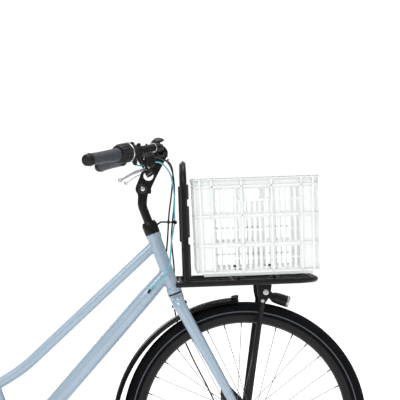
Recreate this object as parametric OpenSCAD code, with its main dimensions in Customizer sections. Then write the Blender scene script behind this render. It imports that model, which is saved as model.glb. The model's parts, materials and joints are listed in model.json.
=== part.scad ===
// City bicycle with a low-step frame, a loaded front carrier and a crate.
// X is forward, Y is to the rider's left, Z is up; the ground is z = 0.

/* [Wheels] */
// distance between the two axles
wheelbase = 1130; // [1090:5:1160]
// outer radius of the tyres (28 inch wheels)
tyre_r = 353; // [348:1:358]
// half of the tyre's width
tyre_half = 21; // [18:1:22]
// spokes in each wheel
spoke_count = 36; // [32:4:36]

/* [Steering] */
// angle of the head tube from the ground
head_angle = 69.5; // [68:0.5:72]
// offset of the front axle ahead of the steering axis
rake = 57; // [50:1:62]
// outer radius of the front and rear mudguards
guard_r = 375; // [372:1:378]
// half of the handlebar's width at its ends
bar_half = 314; // [290:2:330]

/* [Load] */
// length of the crate's walls
crate_l = 344; // [320:2:350]
// width of the crate's walls
crate_w = 268; // [250:2:272]
// height of the crate
crate_h = 264; // [220:2:280]
// height of the hoop's top bar above the carrier rails
hoop_h = 337; // [300:1:350]
// half of the distance between the carrier's side rails
rail_half = 130; // [120:1:132]

/* [Riding position] */
// height of the saddle's top above the ground
saddle_z = 966; // [930:2:990]
// length of the cranks
crank_l = 170; // [165:1:175]
// height of the crank axle above the ground
bb_z = 290; // [285:1:300]

/* [Hidden] */
$fn = 48;

front_x = (wheelbase + guard_r - tyre_r) / 2;
rear_x = front_x - wheelbase;
axle_z = tyre_r;
lean = 90 - head_angle;
foot = [front_x - rake * cos(lean), 0, axle_z - rake * sin(lean)];
rail_o = [406, 0, 765];

// chain drive: 38 teeth in front, 19 behind, 104 links
pitch = 12.7;
ring_n = 38;
cog_n = 19;
ring_r = pitch / 2 / sin(180 / ring_n);
cog_r = pitch / 2 / sin(180 / cog_n);
drive_l = 477.5;
bb_x = rear_x + sqrt(drive_l * drive_l - (axle_z - bb_z) * (axle_z - bb_z));
drive_a = atan2(bb_z - axle_z, bb_x - rear_x);
drive_b = asin((ring_r - cog_r) / drive_l);
run_l = drive_l * cos(drive_b);
up_a = drive_a + 90 + drive_b;
low_a = drive_a - 90 - drive_b;
seat_dir = [-cos(70), 0, sin(70)];
bb = [bb_x, 0, bb_z];

function unit(v) = v / norm(v);
function steer(t, x = 0, y = 0) = foot + x * [cos(lean), 0, sin(lean)] + t * [-sin(lean), 0,
    cos(lean)] + [0, y, 0];
function on_seat(s, y = 0) = bb + s * seat_dir + [0, y, 0];

module place(o, x, z) {
  y = cross(z, x);
  multmatrix([[x[0], y[0], z[0], o[0]], [x[1], y[1], z[1], o[1]], [x[2], y[2], z[2], o[2]], [0, 0, 0, 1]])
    children();
}
module along(a, b) {
  z = unit(b - a);
  place(a, unit(cross(abs(z[1]) > 0.9 ? [0, 0, 1] : [0, 1, 0], z)), z) children();
}
module rod(a, b, r, r2 = undef) {
  along(a, b) cylinder(h = norm(b - a), r1 = r, r2 = r2 == undef ? r : r2);
}
module cross_rod(x, z, y0, y1, r) { translate([x, y0, z]) rotate([-90, 0, 0]) cylinder(h = y1 - y0, r = r); }
module on_steer() { translate(foot) rotate([0, -lean, 0]) children(); }
module on_carrier() { translate(rail_o) rotate([0, -2, 0]) children(); }
module on_tube() { translate(bb) rotate([0, -20, 0]) children(); }
module both() { children(); mirror([0, 1, 0]) children(); }
// flat part in the X-Z plane, from y0 down to y0 - h
module side_plate(y0, h) { translate([0, y0, 0]) rotate([90, 0, 0]) linear_extrude(h) children(); }
module wheel_turn(x) { translate([x, 0, axle_z]) rotate([90, 0, 0]) children(); }

// bent tube whose bends lie in one plane of its own frame
function turn(a, b, c) = acos(max(-1, min(1, unit(b - a) * unit(c - b))));
function cut(a, b, c, br) = br * tan(turn(a, b, c) / 2);
module bent_tube(p, br, r) {
  n = len(p);
  for (i = [0:n - 2]) {
    d = unit(p[i + 1] - p[i]);
    a = p[i] + (i > 0 ? d * cut(p[i - 1], p[i], p[i + 1], br) : [0, 0, 0]);
    b = p[i + 1] - (i < n - 2 ? d * cut(p[i], p[i + 1], p[i + 2], br) : [0, 0, 0]);
    rod(a, b, r);
  }
  for (i = [1:n - 2]) {
    d1 = unit(p[i] - p[i - 1]);
    m = unit(cross(d1, unit(p[i + 1] - p[i])));
    s = p[i] - d1 * cut(p[i - 1], p[i], p[i + 1], br);
    inward = cross(m, d1);
    place(s + inward * br, -inward, m) rotate_extrude(angle = turn(p[i - 1], p[i], p[i + 1]))
      translate([br, 0]) circle(r = r);
  }
}

// rounded route: straight legs, arcs of radius br at the corners, steps points per arc
function arc_pts(a, b, c, br, steps) =
  let (t = turn(a, b, c), l = min(br * tan(t / 2), 0.49 * norm(b - a), 0.49 * norm(c - b)),
    r = t < 0.5 ? 0 : l / tan(t / 2), d1 = unit(b - a), d2 = unit(c - b))
  t < 0.5 ? [b] : let (m = unit(cross(d1, d2)), w = cross(m, d1), s = b - d1 * l)
  [for (k = [0:steps]) let (q = t * k / steps) s + w * r * (1 - cos(q)) + d1 * r * sin(q)];
function route(p, br, steps = 5) = concat([p[0]],
  [for (i = [1:len(p) - 2]) each arc_pts(p[i - 1], p[i], p[i + 1], br, steps)], [p[len(p) - 1]]);
function tangent(p, i) = unit(p[min(len(p) - 1, i + 1)] - p[max(0, i - 1)]);
// sections carried along the route without twist: side is the last section's first direction
function carry(p, i, side) = let (t = tangent(p, i), s = unit(side - t * (side * t)))
  i == len(p) - 1 ? [s] : concat([s], carry(p, i + 1, s));
module sweep(p, ra, rb = 0, ra2 = 0, rb2 = 0, sides = 8, start = [0, 1, 0.01]) {
  n = len(p);
  f = carry(p, 0, start);
  pts = [for (i = [0:n - 1]) let (t = tangent(p, i), v = cross(t, f[i]), k = i / (n - 1),
      a = ra2 > 0 ? ra + (ra2 - ra) * k : ra,
      b = rb2 > 0 ? rb + (rb2 - rb) * k : (rb > 0 ? rb : a))
    for (j = [0:sides - 1]) p[i] + f[i] * a * cos(360 * j / sides) + v * b * sin(360 * j / sides)];
  walls = [for (i = [0:n - 2], j = [0:sides - 1])
    let (a = i * sides + j, b = i * sides + (j + 1) % sides) each [[a, b + sides, b], [a, a + sides,
        b + sides]]];
  polyhedron(points = pts, faces = concat([[for (j = [0:sides - 1]) j]],
    [[for (j = [sides - 1:-1:0]) (n - 1) * sides + j]], walls), convexity = 6);
}

paint = [0.60, 0.69, 0.78];
black = [0.06, 0.06, 0.065];
dark = [0.16, 0.18, 0.21];
steel = [0.75, 0.76, 0.78];
rubber = [0.05, 0.05, 0.05];
plastic = [0.93, 0.94, 0.94];

// ---------- frame ----------
module head_tube() color(paint) on_steer() rotate_extrude()
  polygon([[15, 426], [22, 426], [22, 438], [19, 443], [19, 592], [22, 597], [22, 609], [15, 609]]);
module headset_cups() color(steel) on_steer() for (t = [423.4, 609.0]) translate([0, 0, t])
  rotate_extrude() translate([15, 0]) square([6.6, 2.6]);
module top_tube() color(paint) difference() {
  sweep(route([[318, 0, 874.3], [-62, 0, 515], [-150, 0, 462]], 420, 8), 15, sides = 24);
  sweep(route([[318, 0, 874.3], [-62, 0, 515], [-150, 0, 462]], 420, 8), 13, sides = 24);
  on_steer() translate([0, 0, 380]) cylinder(h = 300, r = 17);
  on_tube() translate([0, 0, 100]) cylinder(h = 160, r = 15.5);
}
dt_top = steer(490);
dt_dir = unit(bb - dt_top);
module down_tube() color(paint) difference() {
  union() {
    rod(dt_top + dt_dir * 90, bb, 23.75);
    rod(dt_top, dt_top + dt_dir * 90, 19.6, 23.75);
  }
  on_steer() translate([0, 0, 380]) cylinder(h = 300, r = 17);
  rod(dt_top + dt_dir * 60, bb, 21.6);
  on_steer() translate([-1, -30, 380]) cube([60, 60, 300]);
  cross_rod(bb_x, bb_z, -40, 40, 19);
}
module seat_tube() color(paint) difference() {
  on_tube() cylinder(h = 485, r = 17);
  on_tube() translate([0, 0, -10]) cylinder(h = 510, r = 13.9);
  on_tube() translate([-25, -1.5, 452]) cube([15, 3, 40]);
  cross_rod(bb_x, bb_z, -40, 40, 19);
}
module bottom_bracket_shell() color(paint) translate([bb_x, 0, bb_z]) rotate([90, 0, 0]) difference() {
  union() { cylinder(h = 68, r = 21, center = true); cylinder(h = 73, r = 19, center = true); }
  cylinder(h = 80, r = 8.3, center = true);
  cylinder(h = 50, r = 17, center = true);
}
module seat_clamp() color(steel) on_tube() difference() {
  union() {
    translate([0, 0, 466]) cylinder(h = 17, r = 20.5);
    translate([-29, -8, 466]) cube([12, 16, 17]);
  }
  translate([0, 0, 460]) cylinder(h = 30, r = 16.8);
  translate([-32, -1.5, 460]) cube([20, 3, 30]);
}
stay_in = [bb_x - 10, 24, bb_z + 1];
stay_mid = [-205, 31.5, bb_z + 17];
stay_end = [rear_x + 30, 70, axle_z - 4];
seat_in = on_seat(400, 12);
seat_mid = [-252, 38, 636];
seat_end = [rear_x + 10, 70, axle_z + 10];
module stand_lug() difference() {
  union() {
    cross_rod(-178, 255, 19, 27, 13);
    translate([-184, 19, 262]) cube([12, 8, 28]);
  }
  cross_rod(-178, 255, 15, 30, 8.4);
}
module rear_stays() color(paint) {
  both() {
    difference() {
      union() {
        sweep(route([stay_in, stay_mid, stay_end], 200, 4), 9, ra2 = 7.5, sides = 16);
        sweep(route([seat_in, seat_mid, seat_end], 60, 4), 8, ra2 = 7, sides = 16);
      }
      cross_rod(bb_x, bb_z, -40, 40, 19);
      on_tube() translate([0, 0, 300]) cylinder(h = 160, r = 15.5);
    }
    difference() {
      side_plate(72.8, 5) {
        translate([rear_x, axle_z]) circle(r = 19);
        polygon([[rear_x, axle_z - 17], [rear_x + 36, axle_z - 14], [rear_x + 36, axle_z + 6],
          [rear_x + 14, axle_z + 22], [rear_x - 4, axle_z + 18]]);
      }
      cross_rod(rear_x, axle_z, 60, 80, 5.3);
    }
    stand_lug();
  }
  cross_rod(-165, 303, -24, 24, 7);
  cross_rod(-273, 613.5, -34, 34, 5.5);
  translate([-196, -33, 287]) cube([36, 66, 7]);
}
function guard_outline(w) = concat(
  [for (k = [0:10]) let (q = 90 - 18 * k) [-13 + 13 * cos(q), w * sin(q)]], [[-18, -w], [-18, 1.8 - w]],
  [for (k = [0:10]) let (q = -90 + 18 * k) [-13 + 11.2 * cos(q), (w - 1.8) * sin(q)]],
  [[-18, w - 1.8], [-18, w]]);
module guard(x, z, r, a0, a1) translate([x, 0, z]) rotate([90, 0, 0]) rotate([0, 0, a0])
  rotate_extrude(angle = a1 - a0, $fn = 96) translate([r, 0]) polygon(guard_outline(26));
module rear_mudguard() color(black) guard(rear_x, axle_z, guard_r, -2, 204);
function ring_at(x, z, r, a, y) = [x + r * cos(a), y, z + r * sin(a)];
module rear_mudguard_stays() color(black) {
  both() for (a = [158, 192]) {
    rod([rear_x - 6, 76, axle_z + 6], ring_at(rear_x, axle_z, guard_r - 14, a, 28), 2.3);
    translate(ring_at(rear_x, axle_z, guard_r - 13, a, 25)) rotate([-90, 0, 0]) cylinder(h = 7, r = 5);
  }
  both() cross_rod(rear_x - 6, axle_z + 6, 72.8, 79, 5);
  rod([-276, 0, 612], ring_at(rear_x, axle_z, guard_r - 2, 43, 0), 4);
  rod([-181, 0, 341], [-168, 0, 306], 4);
}
module rear_carrier() color(black) {
  bent_tube([[-330, 62, 768], [-770, 62, 768], [-770, -62, 768], [-330, -62, 768]], 35, 5);
  for (x = [-332, -450, -560, -670]) cross_rod(x, 768, -62, 62, 4);
  both() {
    rod([-600, 62, 768], [rear_x - 12, 80, axle_z + 22], 5);
    rod([-730, 62, 768], [rear_x - 40, 77.5, axle_z + 66], 4);
    cross_rod(rear_x - 12, axle_z + 22, 72, 86, 6);
    rod([-332, 40, 768], [-264, 41, 637], 4);
  }
  difference() {
    translate([-777.5, -34, 738]) cube([2.5, 68, 34]);
    for (y = [-25, 25]) translate([-785, y, 747]) rotate([0, 90, 0]) cylinder(h = 20, r = 2.6);
  }
}
module nut(x, z, y, h, r) translate([x, y, z]) rotate([-90, 0, 0]) cylinder(h = h, r = r, $fn = 6);
module rear_axle() color(steel) {
  cross_rod(rear_x, axle_z, -90, 90, 5);
  both() nut(rear_x, axle_z, 73, 9, 9.5);
  cross_rod(rear_x, axle_z, -67.6, -51, 9);
}
module rear_brake() color(dark) difference() {
  union() {
    cross_rod(rear_x, axle_z, 31, 45, 45);
    cross_rod(rear_x, axle_z, 45, 67.7, 10);
    side_plate(51, 4) polygon([[rear_x - 18, axle_z - 34], [rear_x + 110, axle_z - 26], [rear_x + 118,
        axle_z - 10],
      [rear_x + 10, axle_z + 36], [rear_x - 26, axle_z + 24]]);
    rod([rear_x + 106, 48, axle_z - 18], [rear_x + 106, 63, axle_z - 14], 7);
  }
  cross_rod(rear_x, axle_z, 20, 80, 5.0);
}
// side view of the chain drive
function ring_pt(x, z, r, a) = [x + r * cos(a), z + r * sin(a)];
wrap_f = ring_r * (up_a - low_a) * PI / 180;
wrap_r = cog_r * (360 - (up_a - low_a)) * PI / 180;
loop_l = 2 * run_l + wrap_f + wrap_r;
function chain_pt(s) =
  s < run_l ? let (k = s / run_l) (1 - k) * ring_pt(rear_x, axle_z, cog_r, up_a) + k * ring_pt(bb_x, bb_z,
      ring_r, up_a) :
  s < run_l + wrap_f ? ring_pt(bb_x, bb_z, ring_r, up_a - (s - run_l) / ring_r * 180 / PI) :
  s < 2 * run_l + wrap_f ? let (k = (s - run_l - wrap_f) / run_l)
    (1 - k) * ring_pt(bb_x, bb_z, ring_r, low_a) + k * ring_pt(rear_x, axle_z, cog_r, low_a) :
  ring_pt(rear_x, axle_z, cog_r, low_a - (s - 2 * run_l - wrap_f) / cog_r * 180 / PI);
module chain_loop(d) polygon([for (k = [0:129]) let (s = loop_l * k / 130, p = chain_pt(s),
  q = chain_pt(min(loop_l - 0.001, s + 0.5)), r = chain_pt(max(0, s - 0.5)),
      t = unit(q - r)) p + d * [-t[1], t[0]]]);
module chain() color(dark) {
  for (y = [-41.6, -46.6]) side_plate(y, 1.8) difference() { chain_loop(4); chain_loop(-4); }
  side_plate(-43.3, 3.4) for (k = [0:103]) translate(chain_pt(loop_l * k / 104)) circle(r = 3.7, $fn = 8);
}
module toothed(n, r, a0) {
  circle(r = r - 4.4, $fn = 96);
  for (k = [0:n - 1]) rotate(a0 + 360 * k / n)
    polygon([[r - 5.5, -2.6], [r - 4, -2.4], [r, -1.7], [r + 3.2, -0.7], [r + 3.2, 0.7], [r, 1.7], [r - 4,
        2.4], [r - 5.5, 2.6]]);
}
ring_k = ceil((run_l + wrap_f / 2) / pitch);
ring_a = up_a - (ring_k * pitch - run_l) / ring_r * 180 / PI + 180 / ring_n;
cog_k = ceil((2 * run_l + wrap_f + wrap_r / 2) / pitch);
cog_a = low_a - (cog_k * pitch - 2 * run_l - wrap_f) / cog_r * 180 / PI + 180 / cog_n;
module chain_guard() color(black) {
  difference() {
    side_plate(-52, 2.5) difference() {
      union() {
        translate([bb_x, bb_z]) circle(r = 102, $fn = 96);
        polygon([[bb_x, bb_z + 102], [bb_x, bb_z + 52], [rear_x + 60, axle_z + 4], [rear_x + 44, axle_z + 14],
          [rear_x + 50, axle_z + 64]]);
      }
      translate([bb_x, bb_z]) circle(r = 60, $fn = 64);
      translate([bb_x - 110, bb_z - 110]) square([220, 96]);
    }
  }
  side_plate(-36, 18.5) polygon([[bb_x, bb_z + 102], [bb_x, bb_z + 100], [rear_x + 50, axle_z + 62],
    [rear_x + 50, axle_z + 64]]);
  rod([-130, -12, 392], [-130, -53, 392], 4);
  rod([-395, -50, 338], [-395, -53.5, 350], 4);
}
// point beside the down tube, s along it from the head tube
function down_at(s, k) = dt_top + dt_dir * s + [0, 24 * k, 0];
module frame_cables() color(black) {
  rod(down_at(52, -1), down_at(66, -1), 5.5);
  sweep(route([[296.3, -24.5, 733], [303, -27.5, 744], [307, -28, 752.5]], 20, 3), 2.4, sides = 8);
  sweep(route([[300, 27, 752.5], [292, 27.5, 738], [bb_x + 60, 29, bb_z + 69], [bb_x, 31, bb_z + 34],
      [-205, 45, 326],
    [rear_x + 150, 60, 352], [rear_x + 40, 57, 389]], 40, 3), 2.3, sides = 8);
  for (s = [120, 420]) rod(down_at(s, 1) + [0, 1.5, 0], down_at(s + 14, 1) + [0, 1.5, 0], 4);
}

// ---------- fork and everything that steers with it ----------
blade = route([[0, 8, 409], [0, 40, 399], [57, 57, 14]], 42, 7);
module fork() color(paint) {
  on_steer() {
    difference() {
      translate([0, 0, 392]) cylinder(h = 250, r = 12.5);
      translate([0, 0, 440]) cylinder(h = 220, r = 11.3);
    }
    rotate_extrude() polygon([[0, 379], [16, 379], [19, 384], [19, 404], [21, 410], [21, 423], [0, 423]]);
    both() sweep(blade, 18.5, 14, 11, 8.5, sides = 16, start = [1, 0, 0.01]);
  }
  both() difference() {
    side_plate(56, 5.5) {
      translate([front_x, axle_z]) circle(r = 15);
      translate([front_x, axle_z]) rotate(28.5) translate([-10, 0]) square([20, 26]);
    }
    cross_rod(front_x, axle_z, 40, 70, 5.2);
  }
}
module headset_cover() color(black) {
  on_steer() rotate_extrude() polygon([[12.8, 612], [22, 612], [22, 636], [18, 645], [10.95, 645], [10.95,
      642.5],
    [12.8, 642.5]]);
  sweep(route([steer(628, 19, 0), steer(632, 34, -6), [369, -19, 936]], 12, 3), 2.6, sides = 8);
  translate([373, -20, 936]) rotate([0, 8, 0]) rotate_extrude($fn = 32) translate([3.6, -4]) square([2.4, 8]);
}
guard_o = [front_x - 8, axle_z - 10];
module front_mudguard() color(black) {
  guard(guard_o[0], guard_o[1], guard_r + 1, 92, 205);
  // short upturned tip at the front end
  translate([guard_o[0], 0, guard_o[1]]) rotate([0, -92, 0]) translate([guard_r - 5, 0, 0]) rotate([0,
      -12, 0])
    translate([0, -20, -16]) cube([5, 40, 18]);
}
module front_mudguard_stays() color(black) {
  both() {
    rod([front_x - 8, 68, axle_z - 12], ring_at(guard_o[0], guard_o[1], guard_r - 13, 192, 28), 2.3);
    translate(ring_at(guard_o[0], guard_o[1], guard_r - 12, 192, 25)) rotate([-90, 0, 0]) cylinder(h = 7,
        r = 5);
    cross_rod(front_x - 8, axle_z - 12, 56, 71, 3);
  }
  // crown bolt and the tab that carries the guard
  on_steer() {
    translate([-34, 0, 389]) rotate([0, 90, 0]) cylinder(h = 62, r = 3);
    translate([-30, 0, 389]) rotate([0, 90, 0]) cylinder(h = 5, r = 6.5, $fn = 6);
    translate([21, 0, 389]) rotate([0, 90, 0]) cylinder(h = 6, r = 6.5, $fn = 6);
    translate([-24, -8, 372]) cube([2.5, 16, 24]);
  }
}
module front_axle() color(steel) {
  cross_rod(front_x, axle_z, -76, 76, 4.9);
  both() nut(front_x, axle_z, 62, 8, 9);
}
module front_brake() color(dark) difference() {
  union() {
    cross_rod(front_x, axle_z, 22.5, 38, 42);
    cross_rod(front_x, axle_z, 27, 31, 50);
    cross_rod(front_x, axle_z, 38, 50.4, 9);
    side_plate(41.5, 3.5) polygon([[front_x + 32, axle_z + 28], [front_x - 50, axle_z + 112],
        [front_x - 60, axle_z + 126],
      [front_x - 70, axle_z + 124], [front_x - 68, axle_z + 60], [front_x - 34, axle_z - 24],
          [front_x + 4, axle_z - 44]]);
    rod([front_x - 62, 40, axle_z + 116], [front_x - 68, 52, axle_z + 119], 8);
  }
  cross_rod(front_x, axle_z, 10, 60, 4.9);
}
module carrier_platform() color(black) on_carrier() {
  bent_tube([[-29, -rail_half, 0], [364, -rail_half, 0], [364, rail_half, 0], [-29, rail_half, 0]], 58, 8);
  for (x = [134, 257]) translate([x, -rail_half, 0]) rotate([-90, 0, 0]) cylinder(h = 2 * rail_half, r = 5);
  translate([-16, -rail_half, 0]) rotate([-90, 0, 0]) cylinder(h = 2 * rail_half, r = 5);
  for (y = [-32, 32]) translate([-16, y, -1]) rotate([0, 90, 0]) cylinder(h = 378, r = 4);
}
module carrier_hoop() color(black) on_carrier() {
  bent_tube([[0, -rail_half, 0], [0, -rail_half, hoop_h], [0, rail_half, hoop_h], [0, rail_half, 0]], 65, 8);
  for (z = [121, 227]) translate([0, -rail_half, z]) rotate([-90, 0, 0]) cylinder(h = 2 * rail_half, r = 4);
}
module hoop_strips() color(rubber) on_carrier() both() {
  for (z = [24, 130, 236]) intersection() {
    translate([6.5, rail_half - 5, z]) cube([6, 10, z > 200 ? 42 : 88]);
    translate([0, rail_half, z - 5]) cylinder(h = 100, r = 12.2);
  }
  translate([-12, rail_half - 4, 110]) cube([5, 8, 166]);
}
leg_top = [620, 75, 716];
leg_low = [front_x + 1, 63.5, axle_z + 34];
module carrier_legs() color(black) both() {
  rod(leg_low, leg_top, 7.5);
  rod([front_x, 59, axle_z + 6], leg_low + [0, -2, 4], 5, 6);
  difference() {
    side_plate(61, 4.4) { translate([front_x, axle_z]) circle(r = 13); translate([front_x - 8,
        axle_z]) square([16, 36]); }
    cross_rod(front_x, axle_z, 50, 70, 5.2);
  }
}
module carrier_brackets() color(black) {
  both() {
    side_plate(78, 5) polygon([[605, 758], [646, 760], [642, 728], [626, 706], [612, 706], [607, 730]]);
    cross_rod(629, 740, 64, 82, 7.5);
    cross_rod(620, 716, 66, 82, 5);
    translate([605, 62, 757]) cube([40, 22, 4]);
  }
  cross_rod(629, 744, -75, 75, 6);
  // lamp ears
  for (y = [-13.5, 9.5]) {
    side_plate(y + 4, 4) polygon([[622, 748], [638, 748], [660, 728], [662, 718], [657, 712], [648, 713],
        [638, 724]]);
  }
  cross_rod(655, lamp_z, -15, 15, 3);
}
lamp_z = 720;
module headlight_housing() color(black) translate([655, 0, lamp_z]) rotate([0, 18, 0]) {
  difference() {
    union() {
      translate([6, 0, 0]) rotate([0, 90, 0]) cylinder(h = 44, r = 16.5);
      translate([-4, 0, 0]) rotate([0, 90, 0]) cylinder(h = 10, r1 = 11, r2 = 16.5);
      translate([-6, -8.8, -8]) cube([14, 17.6, 18]);
    }
    for (y = [-24, 9.1]) translate([-14, y, -26]) cube([28, 15, 52]);
    translate([0, -20, 0]) rotate([-90, 0, 0]) cylinder(h = 40, r = 3.3);
    translate([46, 0, 0]) rotate([0, 90, 0]) cylinder(h = 10, r = 15);
  }
}
module headlight_lens() color([0.9, 0.92, 0.95]) translate([655, 0, lamp_z]) rotate([0, 18, 0])
  translate([46, 0, 0]) rotate([0, 90, 0]) cylinder(h = 6, r = 16.5);
// crate in the carrier's frame: five panels that meet face to face
crate_x = 197;
crate_z = 27.4;
module slots(n, w, gap, h, split) for (i = [0:n - 1]) {
  translate([i * (w + gap), 0]) square([w, split ? h * 0.48 : h]);
  if (split) translate([i * (w + gap), h * 0.54]) square([w, h * 0.46]);
}
// wall of the crate: slotted bays between the ribs at the given places, solid ends
module grille(len, ribs, handle) {
  rows = [[9, 64], [88, 66], [170, 65]];
  linear_extrude(5) difference() {
    square([len, crate_h - 18]);
    for (r = rows, b = [0:2]) {
      w = ribs[b + 1] - ribs[b] - 14;
      translate([len / 2 + ribs[b] + 7, r[0]])
        slots(5, (w - 16) / 5, 4, handle && b == 1 && r[0] == 170 ? 26 : r[1],
            !(handle && b == 1 && r[0] == 170));
    }
    if (handle) translate([len / 2, 218]) hull() for (x = [-24, 24]) translate([x, 0]) circle(r = 15,
        $fn = 24);
  }
  translate([0, crate_h - 20, 0]) cube([len, 20, 5]);
  for (z = [2, 80, 162, 240]) translate([0, z, 5]) cube([len, 3.5, 4]);
  for (x = ribs) translate([len / 2 + x - 2, 0, 5]) cube([4, crate_h, 4]);
  translate([0, crate_h - 5, 5]) cube([len, 5, 5.5]);
}
module crate() color(plastic) on_carrier() translate([crate_x, 0, crate_z]) {
  l = crate_l;
  w = crate_w;
  for (k = [0, 1]) mirror([0, k, 0]) translate([-l / 2 + 9, -w / 2 + 14, 0]) rotate([90, 0, 0])
    grille(l - 18, [-127, -42.5, 42.5, 127], true);
  for (k = [0, 1]) mirror([k, 0, 0]) translate([l / 2 - 14, -w / 2 + 14, 0]) rotate([90, 0, 90])
    grille(w - 28, [-98, -33, 33, 98], true);
  translate([0, 0, crate_h - 5]) linear_extrude(5) difference() {
    square([l + 10, w + 10], center = true);
    square([l - 20, w - 20], center = true);
  }
  for (x = [-1, 1], y = [-1, 1]) translate([x * (l / 2 - 7), y * (w / 2 - 7), 0])
    translate([-7, -7, 0]) cube([14, 14, crate_h]);
  linear_extrude(4) difference() {
    square([l - 28, w - 28], center = true);
    for (i = [-6:6], j = [-4:4]) translate([i * 23, j * 25]) square([17, 19], center = true);
  }
}
module crate_bolts() color(black) on_carrier() for (x = [146, 246], y = [-90, 90]) {
  translate([x - 16, y - 12, 8]) cube([32, 24, 4]);
  translate([x, y, 5]) cylinder(h = 32, r = 4);
  translate([x - 10, y - 10, crate_z + 4]) cube([20, 20, 4]);
  translate([x - 19, y - 10, -7]) cube([28, 20, 3]);
}
stem_pivot = [281, 0, 1032];
module quill_stem() color(black) {
  rod(steer(560), steer(655), 11.05);
  sweep(route([steer(645.2), [278.6, 0, 984], [280.2, 0, 1006]], 60, 6), 12.5, 12.5, 13.5, 13.5, sides = 24);
  // lug between the head's cheeks
  side_plate(10, 20) hull() {
    translate([281, 1032]) circle(r = 17);
    translate([268.5, 998]) square([24, 4]);
  }
  cross_rod(stem_pivot[0], stem_pivot[2], -15.5, 15.5, 4);
}
module fork_cables() color(black) {
  color([0.15, 0.62, 0.72]) sweep(route([[373, -20.5, 945.6], [373, -20.5, 925], [352, -31, 862], [322,
      -30, 790],
    [308, -28.2, 754]], 40, 4), 2.4, sides = 8);
  sweep(route([[330, 24, 951.6], [360, 30, 880], [376, 42, 790], [366, 60, 720], [378, 66, 640], [470, 68,
      450],
    [front_x - 62, 56, axle_z + 8]], 45, 4), 2.3, sides = 8);
  sweep(route([[320, 20, 951.6], [337, 26, 870], [325, 28, 800], [301, 27, 754]], 40, 4), 2.3, sides = 8);
}

// ---------- handlebar and controls ----------
clamp_p = [334, 0, 1135];
bar_end = [139, bar_half, 1104];
bar_corner = [330, 95, 1150];
grip_in = unit(bar_corner - bar_end);
function mir(p) = [p[0], -p[1], p[2]];
// point on the left end of the bar, s from its tip
function on_grip(s) = bar_end + s * grip_in;
module stem_head() color(black) {
  difference() {
    side_plate(16, 32) difference() {
      union() {
        hull() { translate([281, 1032]) circle(r = 21); translate([297, 1070]) circle(r = 22); }
        hull() { translate([334, 1135]) circle(r = 19); translate([297, 1070]) circle(r = 22); }
      }
      translate([297, 1070]) circle(r = 14.5);
      translate([334, 1135]) circle(r = 11.2);
    }
    cross_rod(stem_pivot[0], stem_pivot[2], -10.4, 10.4, 18.5);
    translate([250, -10.4, 1000]) cube([64, 20.8, 32]);
    cross_rod(stem_pivot[0], stem_pivot[2], -20, 20, 4.3);
  }
  both() cross_rod(stem_pivot[0], stem_pivot[2], 16, 18.5, 14.5);
  rod([350, 0, 1116], [353.5, 0, 1113.5], 5);
}
bar_pts = route([mir(bar_end), mir(bar_corner), [334, -42, 1135], [334, 42, 1135], bar_corner, bar_end],
    48, 6);
module handlebar() color(black) sweep(bar_pts, 11.1, sides = 16, start = [0, 0, 1]);
module grips() color(dark) both() difference() {
  union() {
    rod(on_grip(-4), on_grip(118), 15.8, 18);
    rod(on_grip(-6), on_grip(-3.9), 14);
    rod(on_grip(8), on_grip(13), 17.4);
  }
  rod(on_grip(0), on_grip(130), 11);
}
lever_p = [293, 160, 1086];
lever_l = unit([-75, 110, -30]);
lever_n = let (n = [0.645, 0.576, 0.502]) unit(n - lever_l * (n * lever_l));
module on_lever() { place(lever_p, lever_l, lever_n) children(); }
module lever_clamps() {
  color(black) both() {
    difference() {
      rod(on_grip(184), on_grip(206), 16.5);
      rod(on_grip(170), on_grip(220), 11);
    }
    // ears around the lever's pivot, and the neck up to the bar clamp
    on_lever() {
      for (z = [-7.6, 4.4]) translate([0, 0, z]) linear_extrude(3.2) { circle(r = 8); translate([-8,
          -16]) square([16, 16]); }
      translate([-8, -17, -7.6]) cube([16, 7.5, 15.2]);
      translate([0, 0, -9]) cylinder(h = 18, r = 2.5);
    }
    rod(on_grip(195) + [3, 3, -12], lever_p + [-10, 2, 14], 7.5, 6);
  }
  // gear control body beside the right grip, with its cable exit
  color(black) mirror([0, 1, 0]) difference() {
    union() {
      rod(on_grip(160.2), on_grip(182), 24, 20);
      rod(on_grip(171) + [4, -4, -10], on_grip(171) + [14, -18, -34], 7);
    }
    rod(on_grip(150), on_grip(190), 11);
  }
  color(steel) mirror([0, 1, 0]) difference() {
    rod(on_grip(156.4), on_grip(160.2), 27.4);
    rod(on_grip(150), on_grip(190), 11);
  }
}
module lever() on_lever() {
  difference() {
    translate([0, 0, -4]) cylinder(h = 8, r = 7);
    translate([0, 0, -10]) cylinder(h = 20, r = 2.9);
  }
  sweep(route([[4.5, 0, 0], [62, 1, 0], [130, -6, 0]], 90, 4), 4.2, 3.6, 3.8, 4.2, sides = 12, start = [0,
      1, 0]);
  translate([130, -6, 0]) sphere(r = 6.5, $fn = 20);
}
module brake_lever_left() color(steel) lever();
module brake_lever_right() color(steel) mirror([0, 1, 0]) lever();
module twist_shifter() color(black) mirror([0, 1, 0]) difference() {
  union() {
    rod(on_grip(119), on_grip(124), 24, 26);
    rod(on_grip(124), on_grip(156), 26);
    for (a = [0:20:340]) along(on_grip(126), on_grip(154)) rotate(a) translate([25.6, 0,
        0]) cylinder(h = 26, r = 1.6, $fn = 12);
  }
  rod(on_grip(110), on_grip(170), 11.6);
}
bell_o = [331, -64, 1141];
module on_bell() { translate(bell_o) rotate([0, -25, 0]) children(); }
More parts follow.
